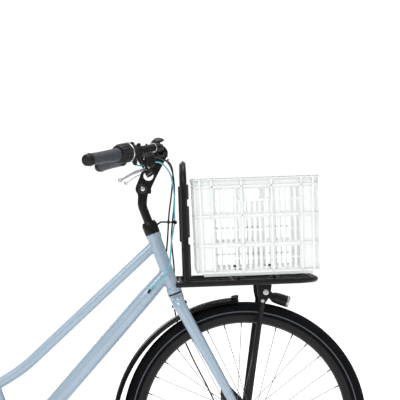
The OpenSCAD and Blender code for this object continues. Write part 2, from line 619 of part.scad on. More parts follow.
module bell_dome() {
  color(black) difference() {
    on_bell() { translate([0, 0, 8]) cylinder(h = 6.5, r = 13); translate([-8, -9, -15]) cube([16, 18, 25]); }
    rod([334, -90, 1136 + 6], [334, -40, 1135], 11);
    rod([334, 0, 1135], [334, -120, 1135], 10.9);
  }
  color(black) on_bell() {
    translate([0, 0, 10]) cylinder(h = 26, r = 3.4);
    translate([0, 0, 20.6]) rotate_extrude() difference() {
      intersection() { translate([0, -9]) circle(r = 25); square([30, 30]); }
      intersection() { translate([0, -9]) circle(r = 23.2); translate([-1, -1]) square([30, 30]); }
    }
  }
}
module bell_lever() color(dark) on_bell() difference() {
  union() {
    translate([0, 0, 15]) cylinder(h = 4.6, r = 8);
    translate([-30, -4, 15]) cube([26, 8, 4.6]);
    translate([-31, 0, 15]) cylinder(h = 7, r = 6.5);
  }
  translate([0, 0, 10]) cylinder(h = 20, r = 3.8);
}
module bar_cables() {
  color([0.15, 0.62, 0.72]) sweep(route([mir(on_grip(171)) + [15, 20, -37], [330, -128, 1062], [368, -70,
      1052], [392, -32, 1010],
    [382, -22, 970], [373, -20.5, 948]], 45, 4), 2.4, sides = 8);
  color(black) {
    sweep(route([lever_p + [4, -6, 12], [340, 100, 1108], [372, 40, 1070], [362, 22, 1010], [330, 24,
        954]], 40, 4), 2.3, sides = 8);
    sweep(route([mir(lever_p) + [4, 6, 12], [342, -90, 1100], [376, -30, 1060], [352, 10, 1000], [320, 20,
        954]], 40, 4), 2.3,
      sides = 8);
  }
}

// ---------- wheels ----------
module tyre(x) color(rubber) wheel_turn(x) rotate_extrude($fn = 128) difference() {
  union() {
    translate([tyre_r - tyre_half, 0]) circle(r = tyre_half);
    translate([311.8, -10.8]) square([20, 21.6]);
  }
  translate([290, -12.5]) square([21.8, 25]);
  translate([290, 10.9]) square([28.2, 20]);
  translate([290, -30.9]) square([28.2, 20]);
  translate([tyre_r - tyre_half, 0]) circle(r = 14);
}
module rim(x) color(black) wheel_turn(x) rotate_extrude($fn = 128) difference() {
  polygon([[292, -6], [297, -12.8], [318, -12.8], [318, -11], [312, -11], [312, 11], [318, 11], [318,
      12.8], [297, 12.8], [292, 6]]);
  polygon([[294, -5], [298.5, -11.2], [309.5, -11.2], [309.5, 11.2], [298.5, 11.2], [294, 5]]);
}
module spokes(x, right, left, rf) color(steel) wheel_turn(x) for (k = [0:spoke_count - 1]) {
  side = k % 2 == 0 ? 1 : -1;
  lay = floor(k / 2) % 2 == 0 ? 1 : -1;
  a = 360 * k / spoke_count + 2;
  h = a + lay * 2160 / spoke_count;
  p = [rf * cos(h), rf * sin(h), (side > 0 ? right : left) + lay * 2.5];
  q = [293 * cos(a), 293 * sin(a), side * 3];
  rod(p, q, 1);
  rod(q - 12 * unit(q - p), q, 2);
}
module hub(x, right, left, rf, rb, r_end, l_end) color(dark) wheel_turn(x) difference() {
  union() {
    translate([0, 0, left]) cylinder(h = right - left, r = rb);
    for (z = [right, left]) translate([0, 0, z - 1.6]) cylinder(h = 3.2, r = rf + 3);
    translate([0, 0, -l_end]) cylinder(h = l_end + r_end, r = 14);
  }
  translate([0, 0, -60]) cylinder(h = 120, r = 5.4);
}
module front_tyre() tyre(front_x);
module front_rim() rim(front_x);
module front_spokes() spokes(front_x, 28, -16, 26);
module front_hub() hub(front_x, 28, -16, 26, 17, 47.2, 22);
module rear_tyre() tyre(rear_x);
module rear_rim() rim(rear_x);
module rear_spokes() spokes(rear_x, 26, -26, 38);
module rear_hub() hub(rear_x, 26, -26, 38, 30, 30, 30.5);
module sprocket() color(dark) translate([rear_x, 0, axle_z]) rotate([90, 0, 0]) difference() {
  union() {
    translate([0, 0, 44]) linear_extrude(2) toothed(cog_n, cog_r, cog_a);
    translate([0, 0, 30.5]) cylinder(h = 19.5, r = 17);
  }
  cylinder(h = 60, r = 5.4);
}

// ---------- cranks, pedals, stand, saddle ----------
module chainring() color(dark) translate([bb_x, 0, bb_z]) rotate([90, 0, 0]) translate([0, 0,
    43.8]) linear_extrude(2.4)
  difference() { toothed(ring_n, ring_r, ring_a); circle(r = 52, $fn = 64); }
module arm(y0, y1, dir) difference() {
  union() {
    side_plate(y1, y1 - y0) {
      translate([bb_x, bb_z]) circle(r = 16);
      translate([bb_x + dir * crank_l, bb_z]) circle(r = 13);
      polygon([[bb_x, bb_z + 15], [bb_x + dir * crank_l, bb_z + 11], [bb_x + dir * crank_l, bb_z - 11],
          [bb_x, bb_z - 15]]);
    }
    cross_rod(bb_x + dir * crank_l, bb_z, y0 < 0 ? -176 : y1 - 1, y0 < 0 ? y0 + 1 : 176, 4.5);
  }
}
module crankset() color(dark) {
  cross_rod(bb_x, bb_z, -74, 74, 8);
  arm(72, 86, -1);
  arm(-86, -72, 1);
  cross_rod(bb_x, bb_z, -72, -46.2, 18);
  for (k = [0:4]) translate([bb_x, -46.2, bb_z]) rotate([90, 0, 0]) rotate(72 * k) translate([10, -7,
      0]) cube([48, 14, 3.4]);
}
module pedal(x) difference() {
  union() {
    for (k = [-1, 1]) {
      translate([x + k * 38 - 7, 94, bb_z - 12]) cube([14, 86, 24]);
      translate([x - 45, 137 + k * 37 - 6, bb_z - 10]) cube([90, 12, 20]);
    }
    cross_rod(x, bb_z, 94, 180, 11);
  }
  cross_rod(x, bb_z, 80, 177, 4.8);
}
module pedal_left() color(black) pedal(bb_x - crank_l);
module pedal_right() color(black) mirror([0, 1, 0]) pedal(bb_x + crank_l);
module centre_stand() color(black) {
  cross_rod(-178, 255, -56.5, 56.5, 8);
  both() {
    translate([-178, 57, 255]) sphere(r = 8.6);
    sweep(route([[-178, 56.4, 255], [-141, 57.6, 112], [-114, 126, 9]], 40, 5), 7, sides = 14);
    translate([-113, 128, 0]) cylinder(h = 16, r1 = 13, r2 = 10);
  }
}
module seatpost() color(steel) on_tube() difference() {
  translate([0, 0, 320]) cylinder(h = 342, r = 13.6);
  translate([0, 0, 310]) cylinder(h = 340, r = 11.8);
}
function saddle_at(x, y, z) = [x, y, saddle_z + z];
module saddle_pad() color(dark) {
  hull() {
    for (k = [-1, 1]) translate(saddle_at(-398, k * 66, -26)) sphere(r = 24, $fn = 24);
    translate(saddle_at(-360, 0, -24)) sphere(r = 24, $fn = 24);
    for (k = [-1, 1]) translate(saddle_at(-340, k * 38, -27)) sphere(r = 23, $fn = 24);
  }
  hull() {
    for (k = [-1, 1]) translate(saddle_at(-340, k * 38, -27)) sphere(r = 23, $fn = 24);
    translate(saddle_at(-200, 0, -32)) sphere(r = 20, $fn = 24);
    translate(saddle_at(-240, 0, -29)) sphere(r = 24, $fn = 24);
  }
}
module saddle_rails() color(black) {
  both() {
    sweep(route([saddle_at(-404, 43, -66), saddle_at(-360, 34, -71), saddle_at(-250, 22, -68),
        saddle_at(-206, 8, -42)],
      30, 3), 3.5, sides = 10);
    rod(saddle_at(-399, 42, -72), saddle_at(-397, 46, -44), 9);
  }
  translate(saddle_at(-326, -40, -78)) cube([40, 80, 18]);
  translate(saddle_at(-410, -60, -46)) cube([24, 120, 6]);
}

head_tube();
top_tube();
down_tube();
seat_tube();
bottom_bracket_shell();
rear_stays();
headset_cups();
seat_clamp();
rear_mudguard();
rear_mudguard_stays();
rear_carrier();
rear_brake();
rear_axle();
chain_guard();
chain();
frame_cables();
fork();
headset_cover();
front_mudguard();
front_mudguard_stays();
front_axle();
front_brake();
carrier_platform();
carrier_hoop();
hoop_strips();
carrier_legs();
carrier_brackets();
crate();
crate_bolts();
quill_stem();
fork_cables();
headlight_housing();
headlight_lens();
stem_head();
handlebar();
grips();
lever_clamps();
bell_dome();
bar_cables();
brake_lever_right();
brake_lever_left();
twist_shifter();
bell_lever();
front_tyre();
front_rim();
front_spokes();
front_hub();
rear_tyre();
rear_rim();
rear_spokes();
rear_hub();
sprocket();
crankset();
chainring();
pedal_right();
pedal_left();
centre_stand();
seatpost();
saddle_pad();
saddle_rails();
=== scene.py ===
import bpy
import bmesh
import json
import math
from math import sin, cos, pi, radians
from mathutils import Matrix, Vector
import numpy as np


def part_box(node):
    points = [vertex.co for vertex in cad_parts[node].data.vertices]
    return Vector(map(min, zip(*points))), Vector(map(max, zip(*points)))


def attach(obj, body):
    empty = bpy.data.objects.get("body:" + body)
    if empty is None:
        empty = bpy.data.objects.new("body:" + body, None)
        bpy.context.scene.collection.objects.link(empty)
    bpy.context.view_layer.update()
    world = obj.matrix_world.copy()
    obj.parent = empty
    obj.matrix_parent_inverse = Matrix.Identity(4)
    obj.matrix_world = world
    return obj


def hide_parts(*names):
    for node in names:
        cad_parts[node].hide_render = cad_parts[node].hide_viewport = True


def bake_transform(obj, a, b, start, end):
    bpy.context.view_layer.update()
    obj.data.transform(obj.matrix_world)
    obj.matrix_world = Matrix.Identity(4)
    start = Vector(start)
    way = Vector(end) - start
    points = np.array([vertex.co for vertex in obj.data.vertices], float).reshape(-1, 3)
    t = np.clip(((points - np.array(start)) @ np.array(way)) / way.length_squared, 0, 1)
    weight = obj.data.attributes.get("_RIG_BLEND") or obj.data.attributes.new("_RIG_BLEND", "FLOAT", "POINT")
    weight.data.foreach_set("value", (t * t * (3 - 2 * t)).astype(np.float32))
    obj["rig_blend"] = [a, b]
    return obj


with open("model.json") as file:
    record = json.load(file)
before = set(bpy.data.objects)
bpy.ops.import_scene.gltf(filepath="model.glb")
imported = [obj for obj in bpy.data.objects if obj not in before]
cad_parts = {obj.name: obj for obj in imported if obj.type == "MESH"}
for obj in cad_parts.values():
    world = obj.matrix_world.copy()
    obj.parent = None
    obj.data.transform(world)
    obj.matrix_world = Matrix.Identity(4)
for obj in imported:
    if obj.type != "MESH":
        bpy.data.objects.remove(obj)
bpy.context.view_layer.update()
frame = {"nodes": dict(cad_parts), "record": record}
nodes = frame["nodes"]
scene = bpy.context.scene

# ------------ camera and light
CAMERA_PLACE = (0.3273, -3.3934, 1.0)
CAMERA_TURN = (radians(90), 0, radians(-2))
FOCAL_LENGTH = 105.84
SENSOR_WIDTH = 36
CLIP_END = 60
WHITE_SEEN = 1.08
# sky brightness by height: dimmer towards the horizon, so rounded edges read against the white
SKY_GLOW = {"From Min": -0.05, "From Max": 0.55, "To Min": 0.14, "To Max": 0.72}
LIGHTS = (
    # name, place, aim, width and height, watts
    ("Key", (-1.5, -3.0, 3.3), (0.2, 0, 0.8), (2.2, 1.4), 62),
    ("Fill", (2.8, -2.6, 1.6), (0.3, 0, 0.7), (1.4, 2.0), 14),
    ("Top", (0.1, 0.3, 4.2), (0.1, 0, 0.5), (2.6, 1.4), 70),
    ("Back", (-1.2, 3.4, 2.4), (0.1, 0, 0.7), (2.2, 1.6), 34),
)


def add_object(name, data):
    o = bpy.data.objects.new(name, data)
    scene.collection.objects.link(o)
    return o


def set_camera():
    cam = add_object("Camera", bpy.data.cameras.new("Camera"))
    cam.location = CAMERA_PLACE
    cam.rotation_euler = CAMERA_TURN
    cam.data.lens = FOCAL_LENGTH
    cam.data.sensor_width = SENSOR_WIDTH
    cam.data.clip_end = CLIP_END
    scene.camera = cam
    scene.view_settings.view_transform = "Standard"
    scene.view_settings.look = "None"


def set_world():
    """White surroundings for the eye, and a softer white that lights the object."""
    world = bpy.data.worlds.new("World")
    scene.world = world
    world.use_nodes = True
    tree = world.node_tree
    background = tree.nodes["Background"]
    background.inputs[0].default_value = (1, 1, 1, 1)
    ray = tree.nodes.new("ShaderNodeLightPath")
    level = tree.nodes.new("ShaderNodeMapRange")
    level.inputs["To Max"].default_value = WHITE_SEEN
    tree.links.new(ray.outputs["Is Camera Ray"], level.inputs["Value"])
    tree.links.new(level.outputs[0], background.inputs[1])
    sky = tree.nodes.new("ShaderNodeTexCoord")
    height = tree.nodes.new("ShaderNodeSeparateXYZ")
    glow = tree.nodes.new("ShaderNodeMapRange")
    for key, value in SKY_GLOW.items():
        glow.inputs[key].default_value = value
    tree.links.new(sky.outputs["Generated"], height.inputs[0])
    tree.links.new(height.outputs[2], glow.inputs["Value"])
    tree.links.new(glow.outputs[0], level.inputs["To Min"])


def area_light(name, place, aim, size, watts):
    data = bpy.data.lights.new(name, "AREA")
    data.shape = "RECTANGLE"
    data.size, data.size_y = size
    data.energy = watts
    o = add_object(name, data)
    o.location = place
    o.rotation_euler = (Vector(aim) - Vector(place)).to_track_quat("-Z", "Y").to_euler()


set_camera()
set_world()
for light in LIGHTS:
    area_light(*light)

# ------------ points and directions
BAR, FORK = "handlebar_assembly", "fork_assembly"
HEAD_ANGLE = radians(20.5)
SEAT_ANGLE = radians(20)
CARRIER_ANGLE = radians(2)
SIDES = (1, -1)


def V(*p):
    """A point given in millimetres."""
    return Vector(p) * 0.001


def unit(v):
    return v.normalized()


def flip(p):
    """The same point on the other side of the bicycle."""
    return Vector((p.x, -p.y, p.z))


def steer(t, x=0.0, y=0.0):
    """Point in the fork's own frame: t up the steering axis, x ahead of it, y to the left."""
    a = HEAD_ANGLE
    return V(522.607 + x * cos(a) - t * sin(a), y, 333.038 + x * sin(a) + t * cos(a))


def carrier(x, y, z):
    """Point in the front carrier's frame, which rises 2 degrees forward."""
    a = CARRIER_ANGLE
    return V(406 + x * cos(a) - z * sin(a), y, 765 + x * sin(a) + z * cos(a))


def on_seat(s, x=0.0, y=0.0):
    """Point in the seat tube's frame: s up the tube from the crank axle, x ahead of it, y to the left."""
    a = SEAT_ANGLE
    return V(-80.7 - s * sin(a) + x * cos(a), y, 290 + s * cos(a) + x * sin(a))


X, Y, Z = Vector((1, 0, 0)), Vector((0, 1, 0)), Vector((0, 0, 1))
STEER_AXIS = unit(steer(1) - steer(0))
AHEAD = unit(steer(0, 1) - steer(0))
# axle centres as (x, z) in millimetres, and the same places as points
FRONT_AXLE, REAR_AXLE = (576, 353), (-554, 353)
FRONT, REAR, CRANK = V(576, 0, 353), V(-554, 0, 353), V(-80.7, 0, 290)


def side(x, y, z):
    """Outline in the X-Z plane, thickness along Y; metres."""
    return Vector((x, z, y))


def disc(centre, r):
    """Outline of a round plate in metres; its centre (x, z) and radius are in millimetres."""
    turns = [radians(11.25 * k) for k in range(32)]
    return [(centre[0] / 1000 + r / 1000 * cos(q), centre[1] / 1000 + r / 1000 * sin(q)) for q in turns]


def mm(pairs):
    return [(a / 1000, b / 1000) for a, b in pairs]


def fillet(points, radius, steps=8):
    """Rounds the corners of a polyline."""
    out = [points[0]]
    for a, b, c in zip(points, points[1:], points[2:]):
        d1, d2 = unit(b - a), unit(c - b)
        turn = d1.angle(d2)
        if turn < 0.01:
            out.append(b)
            continue
        cut = min(radius * math.tan(turn / 2), 0.49 * (b - a).length, 0.49 * (c - b).length)
        r = cut / math.tan(turn / 2)
        inward = unit(d1.cross(d2)).cross(d1)
        start = b - d1 * cut
        for k in range(steps + 1):
            q = turn * k / steps
            out.append(start + inward * r * (1 - cos(q)) + d1 * r * sin(q))
    out.append(points[-1])
    return out


def smooth_path(points, per=8):
    """Catmull-Rom curve through the points."""
    p = [points[0] * 2 - points[1]] + list(points) + [points[-1] * 2 - points[-2]]
    out = []
    for a, b, c, d in zip(p, p[1:], p[2:], p[3:]):
        bend = 2 * a - 5 * b + 4 * c - d
        twist = 3 * b - a - 3 * c + d
        for k in range(per):
            t = k / per
            out.append(0.5 * (2 * b + (c - a) * t + bend * t * t + twist * t ** 3))
    out.append(points[-1])
    return out


# ------------ mesh building
class Build:
    """Collects faces for one piece, with UVs in metres along and around each form."""

    def __init__(self):
        self.v, self.f, self.uv = [], [], []

    def grid(self, rows, close_u=False, close_v=False, uv=None, flipped=False):
        """Quads over rows of points; close_v joins the last row to the first."""
        n, m = len(rows), len(rows[0])
        base = len(self.v)
        for r in rows:
            self.v.extend(r)
        for i in range(n if close_v else n - 1):
            for j in range(m if close_u else m - 1):
                a, b = base + i * m + j, base + i * m + (j + 1) % m
                c, d = base + (i + 1) % n * m + (j + 1) % m, base + (i + 1) % n * m + j
                face = [a, b, c, d]
                if uv:
                    t = [uv(i, j), uv(i, j + 1), uv(i + 1, j + 1), uv(i + 1, j)]
                else:
                    t = [(0, 0)] * 4
                if flipped:
                    face.reverse()
                    t.reverse()
                self.f.append(face)
                self.uv.append(t)
        return base

    def cap(self, start, count, flipped=False):
        face = list(range(start, start + count))
        if flipped:
            face.reverse()
        self.f.append(face)
        self.uv.append([(0, 0)] * count)

    def solid(self, rows):
        """A closed form over rings of points, with a cap on each end."""
        m = len(rows[0])
        base = self.grid(rows, close_u=True)
        self.cap(base, m, flipped=True)
        self.cap(base + (len(rows) - 1) * m, m)

    def tube(self, path, r, sides=24, rb=None, up=Vector((0, 1, 0.01)), dome=0.0, closed=False):
        """Round or elliptical tube; r and rb are numbers or functions of the share of the way along."""
        n = len(path)
        run = [0.0]
        for p, q in zip(path, path[1:]):
            run.append(run[-1] + (q - p).length)
        across = up
        rows = []
        for i, p in enumerate(path):
            if closed:
                t = unit(path[(i + 1) % n] - path[i - 1])
            else:
                t = unit(path[min(n - 1, i + 1)] - path[max(0, i - 1)])
            across = unit(across - t * across.dot(t))
            w = t.cross(across)
            k = run[i] / run[-1]
            a = r(k) if callable(r) else r
            b = (rb(k) if callable(rb) else rb) if rb else a
            turns = [2 * pi * j / sides for j in range(sides)]
            rows.append([p + across * a * cos(q) + w * b * sin(q) for q in turns])
        if dome:
            t0, t1 = unit(path[1] - path[0]), unit(path[-1] - path[-2])
            for k in (1, 2, 3):
                q = pi / 2 * k / 3.4
                rows.insert(0, [path[0] + (v - path[0]) * cos(q) - t0 * dome * sin(q) for v in rows[k - 1]])
                rows.append([path[-1] + (v - path[-1]) * cos(q) + t1 * dome * sin(q) for v in rows[-k]])
        girth = 2 * pi * (r(0) if callable(r) else r)
        base = self.grid(rows, close_u=True, close_v=closed,
                         uv=lambda i, j: (j / sides * girth, run[min(max(i, 0), n - 1)]))
        if not closed:
            self.cap(base, sides, flipped=True)
            self.cap(base + (len(rows) - 1) * sides, sides)
        return self

    def lathe(self, profile, origin, axis, segs=64, ref=None, a0=0.0, a1=2 * pi, ring=False):
        """Turns (radius, distance along the axis) points in metres, from angle a0 to a1 after ref."""
        axis = unit(axis)
        ref = ref or (X if abs(axis.x) < 0.9 else Z)
        x = unit(ref - axis * ref.dot(axis))
        y = axis.cross(x)
        full = abs(a1 - a0 - 2 * pi) < 1e-6
        count = segs if full else segs + 1
        run = [0.0]
        for p, q in zip(profile, profile[1:]):
            run.append(run[-1] + math.hypot(q[0] - p[0], q[1] - p[1]))
        run.append(run[-1])
        widest = max(p[0] for p in profile)
        rows = []
        for k in range(count):
            q = a0 + (a1 - a0) * k / segs
            d = x * cos(q) + y * sin(q)
            rows.append([origin + d * p[0] + axis * p[1] for p in profile])
        base = self.grid(rows, close_u=ring, close_v=full, flipped=True,
                         uv=lambda i, j: ((a0 + (a1 - a0) * i / segs) * widest, run[min(j, len(run) - 1)]))
        if not full:
            m = len(profile)
            self.cap(base, m)
            self.cap(base + (count - 1) * m, m, flipped=True)
        return self

    def turn(self, profile, origin, axis, segs, ring=False):
        """A full lathe form with its profile in millimetres."""
        return self.lathe(mm(profile), origin, axis, segs, ring=ring)

    def prism(self, outline, place, z0, z1):
        """Straight extrusion of a 2-D outline; place maps (x, y, z) in metres to a point."""
        n = len(outline)
        base = len(self.v)
        self.v.extend(place(x, y, z0) for x, y in outline)
        self.v.extend(place(x, y, z1) for x, y in outline)
        self.cap(base, n, flipped=True)
        self.cap(base + n, n)
        for j in range(n):
            k = (j + 1) % n
            self.f.append([base + j, base + k, base + n + k, base + n + j])
            self.uv.append([(0, 0)] * 4)
        return self

    def box(self, lo, hi, place=lambda x, y, z: Vector((x, y, z))):
        (x0, y0, z0), (x1, y1, z1) = lo, hi
        return self.prism([(x0, y0), (x1, y0), (x1, y1), (x0, y1)], place, z0, z1)

    def plate(self, outline, s, near, far):
        """Upright plate on side s, between two distances (mm) from the middle of the bicycle."""
        y0, y1 = sorted((near * s, far * s))
        return self.prism(outline, side, y0 / 1000, y1 / 1000)

    def blob(self, c, ax, ay, az, p=2.6, n=24, m=14):
        """Soft box: a superellipsoid on three half-axes given as vectors."""
        def f(v):
            return math.copysign(abs(v) ** (2 / p), v)
        rows = []
        for i in range(m + 1):
            q = max(-pi / 2 + 0.02, min(pi / 2 - 0.02, -pi / 2 + pi * i / m))
            turns = [2 * pi * j / n for j in range(n)]
            rows.append([c + ax * f(cos(q)) * f(cos(t)) + ay * f(cos(q)) * f(sin(t)) + az * f(sin(q))
                         for t in turns])
        self.solid(rows)
        return self

    def bolt(self, p, d, r, h, socket):
        """Cap screw with a chamfered head and a round socket; d points out of the head, sizes in mm."""
        head = [(0, 0), (r, 0), (r, h - 0.8), (r - 0.8, h), (socket, h), (socket * 0.94, h - 2), (0, h - 2)]
        self.turn(head, p, d, 30)

    def washer_bolt(self, p, d, r):
        self.turn([(0, 0), (r + 2.4, 0), (r + 2.4, 1.2), (r, 1.4), (0, 1.4)], p, d, 30)
        self.bolt(p + unit(d) * 0.0013, d, r, 3.4, r * 0.52)

    def hexnut(self, p, d, r, h):
        """Hexagon nut, r across the corners and h thick in mm, with a smaller outer step."""
        d = unit(d)
        x = unit(d.orthogonal())
        y = d.cross(x)
        for r2, z0, z1 in ((r, 0.0, h * 0.86), (r * 0.9, h * 0.8, h)):
            hexagon = [(r2 / 1000 * cos(pi / 3 * k), r2 / 1000 * sin(pi / 3 * k)) for k in range(6)]
            self.prism(hexagon, lambda u, v, w: p + x * u + y * v + d * w, z0 / 1000, z1 / 1000)

    def mirrored(self):
        """Adds the other side's copy, across Y = 0."""
        n = len(self.v)
        self.v.extend([flip(p) for p in self.v])
        for face, t in list(zip(self.f, self.uv)):
            self.f.append([i + n for i in reversed(face)])
            self.uv.append(list(reversed(t)))
        return self

    def mesh(self, name):
        me = bpy.data.meshes.new(name)
        me.from_pydata([tuple(p) for p in self.v], [], self.f)
        layer = me.uv_layers.new(name="UVMap")
        layer.data.foreach_set("uv", [c for t in self.uv for u in t for c in u])
        return me

    def done(self, name, mat, body, replaces=(), bevel=0.0, seg=2, sharp=38):
        me = self.mesh(name)
        face_outward(me)
        return finish_mesh(name, me, mat, body, replaces, bevel, seg, sharp)


def face_outward(me):
    bm = bmesh.new()
    bm.from_mesh(me)
    bmesh.ops.recalc_face_normals(bm, faces=bm.faces)
    bm.to_mesh(me)
    bm.free()


def shade(me, sharp):
    me.polygons.foreach_set("use_smooth", [True] * len(me.polygons))
    me.set_sharp_from_angle(angle=radians(sharp))


def finish_mesh(name, me, mat, body, replaces=(), bevel=0.0, seg=2, sharp=38):
    """Makes the piece: shading, material, soft edges, and its body and replaced nodes."""
    shade(me, sharp)
    me.materials.append(mat.m)
    o = add_object(name, me)
    if bevel:
        m = o.modifiers.new("Bevel", "BEVEL")
        m.width = bevel
        m.segments = seg
        m.limit_method = "ANGLE"
        m.angle_limit = radians(38)
        m.harden_normals = False
    if body:
        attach(o, body)
    if replaces:
        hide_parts(*replaces)
    return o


def apply_modifiers(o):
    deps = bpy.context.evaluated_depsgraph_get()
    me = bpy.data.meshes.new_from_object(o.evaluated_get(deps))
    old = o.data
    o.modifiers.clear()
    o.data = me
    bpy.data.meshes.remove(old)


def bore(a, b, r, sides=24):
    """A round hole to cut, from a to b."""
    return Build().tube([a, b], r, sides)


def weld(name, build, voxel, smooth, mat, body, replaces=(), cuts=(), sharp=60):
    """Joins overlapping forms into one smooth skin, with soft fillets where they meet.
    """
    o = add_object(name, build.mesh(name + "_raw"))
    m = o.modifiers.new("Remesh", "REMESH")
    m.mode = "VOXEL"
    m.voxel_size = voxel[1] / 1000
    m.use_smooth_shade = True
    s = o.modifiers.new("Smooth", "SMOOTH")
    s.factor = 0.5
    s.iterations = smooth
    cutters = [add_object(name + "_cut", c.mesh("cut")) for c in cuts]
    for cutter in cutters:
        b = o.modifiers.new("Cut", "BOOLEAN")
        b.operation = "DIFFERENCE"
        b.solver = "FAST"
        b.object = cutter
    apply_modifiers(o)
    for cutter in cutters:
        bpy.data.objects.remove(cutter)
    me = o.data
    bpy.data.objects.remove(o)
    me.materials.clear()
    finish_mesh(name, me, mat, body, replaces, sharp=sharp)


# ------------ materials
class Mat:
    """A principled material built from procedural nodes in object space or along a piece's own UVs."""

    def __init__(self, name, color, rough=0.5, metal=0.0, spec=0.5, coat=0.0, coat_rough=0.1, sheen=0.0,
                 slot=None):
        self.m = bpy.data.materials.new(name)
        self.m.use_nodes = True
        self.tree = self.m.node_tree
        self.inputs = self.tree.nodes["Principled BSDF"].inputs
        self.slot = slot or name
        self.color = color
        values = {"Base Color": (*color, 1), "Roughness": rough, "Metallic": metal,
                  "Specular IOR Level": spec, "Coat Weight": coat, "Coat Roughness": coat_rough,
                  "Sheen Weight": sheen}
        for key, value in values.items():
            self.inputs[key].default_value = value
        place = self.tree.nodes.new("ShaderNodeTexCoord")
        self.coord, self.uvs = place.outputs["Object"], place.outputs["UV"]
        self.height = None

    def node(self, kind, **inputs):
        """New node; each keyword is an input's value or link, or else a property of the node."""
        n = self.tree.nodes.new("ShaderNode" + kind)
        for key, value in inputs.items():
            if key not in n.inputs:
                setattr(n, key, value)
            else:
                self.feed(value, n.inputs[key])
        return n

    def link(self, a, b):
        self.tree.links.new(a, b)

    def feed(self, value, socket):
        """Links another node's output to the socket, or sets a plain value on it."""
        if isinstance(value, bpy.types.NodeSocket):
            self.link(value, socket)
        else:
            socket.default_value = value

    def noise(self, scale, detail=3.0, stretch=None):
        n = self.node("TexNoise", Scale=scale, Detail=detail, Roughness=0.5)
        source = self.coord
        if stretch:
            mapping = self.node("Mapping", Scale=stretch)
            self.link(source, mapping.inputs["Vector"])
            source = mapping.outputs[0]
        self.link(source, n.inputs["Vector"])
        return n.outputs["Fac"]

    def split(self, source):
        n = self.node("SeparateXYZ")
        self.link(source, n.inputs[0])
        return n.outputs

    def remap(self, value, a, b, lo, hi):
        n = self.node("MapRange")
        self.link(value, n.inputs["Value"])
        for key, v in (("From Min", a), ("From Max", b), ("To Min", lo), ("To Max", hi)):
            n.inputs[key].default_value = v
        return n.outputs[0]

    def mix(self, share, a, b):
        n = self.node("Mix", data_type="RGBA")
        self.link(share, n.inputs["Factor"])
        for key, color in (("A", a), ("B", b)):
            socket = [i for i in n.inputs if i.name == key and i.type == "RGBA"][0]
            socket.default_value = (*color, 1)
        return [o for o in n.outputs if o.type == "RGBA"][0]

    def math(self, op, *values):
        n = self.tree.nodes.new("ShaderNodeMath")
        n.operation = op
        for value, socket in zip(values, n.inputs):
            self.feed(value, socket)
        return n.outputs[0]

    def plus(self, a, b):
        return self.math("ADD", a, b)

    def times(self, a, b):
        return self.math("MULTIPLY", a, b)

    def wave(self, value, rate):
        return self.math("SINE", self.times(value, rate))

    def tint(self, value, amount):
        """Base colour varies by amount around its own value."""
        lo = [max(0, x * (1 - amount)) for x in self.color]
        hi = [min(1, x * (1 + amount)) for x in self.color]
        self.link(self.mix(self.remap(value, 0.3, 0.7, 0, 1), lo, hi), self.inputs["Base Color"])

    def vary_rough(self, value, lo, hi):
        self.link(self.remap(value, 0.3, 0.7, lo, hi), self.inputs["Roughness"])

    def bump(self, value, strength, distance):
        """Adds a bump on top of those already there."""
        n = self.node("Bump", Strength=strength, Distance=distance)
        self.link(value, n.inputs["Height"])
        if self.height:
            self.link(self.height, n.inputs["Normal"])
        self.height = n.outputs[0]
        self.link(self.height, self.inputs["Normal"])

    def surface(self, clouds, tint, smears, lo, hi):
        """Colour clouds and uneven gloss, each with its noise scale and its amounts."""
        self.tint(self.noise(clouds, 4.0), tint)
        self.vary_rough(self.noise(smears, 4.0), lo, hi)

    def grain(self, scale, strength, distance):
        self.bump(self.noise(scale, 2.0), strength, distance)


def paint():
    """Blue-grey metallic paint with flake, soft clouds and a clear coat."""
    m = Mat("frame_paint", (0.314, 0.406, 0.496), rough=0.34, coat=1.0, coat_rough=0.07)
    m.tint(m.plus(m.times(m.noise(2600, 1.0), 0.5), m.times(m.noise(5, 3.0), 0.5)), 0.07)
    m.vary_rough(m.noise(40, 4.0), 0.27, 0.38)
    m.grain(350, 0.03, 0.0004)
    return m


def black_metal(name, rough, base):
    m = Mat(name, (base, base, base * 1.15), rough=rough, spec=0.20, coat=0.04, coat_rough=0.2)
    m.surface(30, 0.35, 90, rough - 0.07, rough + 0.10)
    m.grain(1500, 0.10, 0.0003)
    return m


def plastic(name, color, rough, grain=1800, depth=0.12, vary=0.12, slot=None, spec=0.4):
    m = Mat(name, color, rough=rough, spec=spec, slot=slot)
    m.surface(18, vary, 60, rough - 0.06, rough + 0.08)
    m.grain(grain, depth, 0.0003)
    return m


def gloss_guard():
    m = Mat("guard_plastic", (0.0022, 0.0022, 0.0026), rough=0.26, spec=0.14, coat=0.03, coat_rough=0.12)
    m.surface(14, 0.3, 50, 0.2, 0.36)
    m.grain(220, 0.03, 0.0005)
    return m


def metal(name, color, rough, slot=None):
    """Bare metal with fine scratches along X."""
    m = Mat(name, color, rough=rough, metal=1.0, slot=slot)
    scratches = m.noise(1.0, 3.0, stretch=(900, 60, 60))
    m.tint(m.noise(35, 4.0), 0.08)
    m.vary_rough(scratches, max(0.05, rough - 0.09), rough + 0.12)
    m.bump(scratches, 0.06, 0.0002)
    return m


def ribbed_grip():
    """Moulded rubber with a fine cross-hatched knurl."""
    m = Mat("grip_rubber", (0.024, 0.030, 0.040), rough=0.55, spec=0.35, sheen=0.15)
    x = m.split(m.uvs)
    one_way = m.wave(m.plus(x[0], x[1]), 2100)
    other_way = m.wave(m.math("SUBTRACT", x[0], x[1]), 2100)
    m.surface(60, 0.18, 120, 0.48, 0.66)
    m.bump(m.times(one_way, other_way), 0.35, 0.0005)
    m.grain(900, 0.15, 0.0003)
    return m


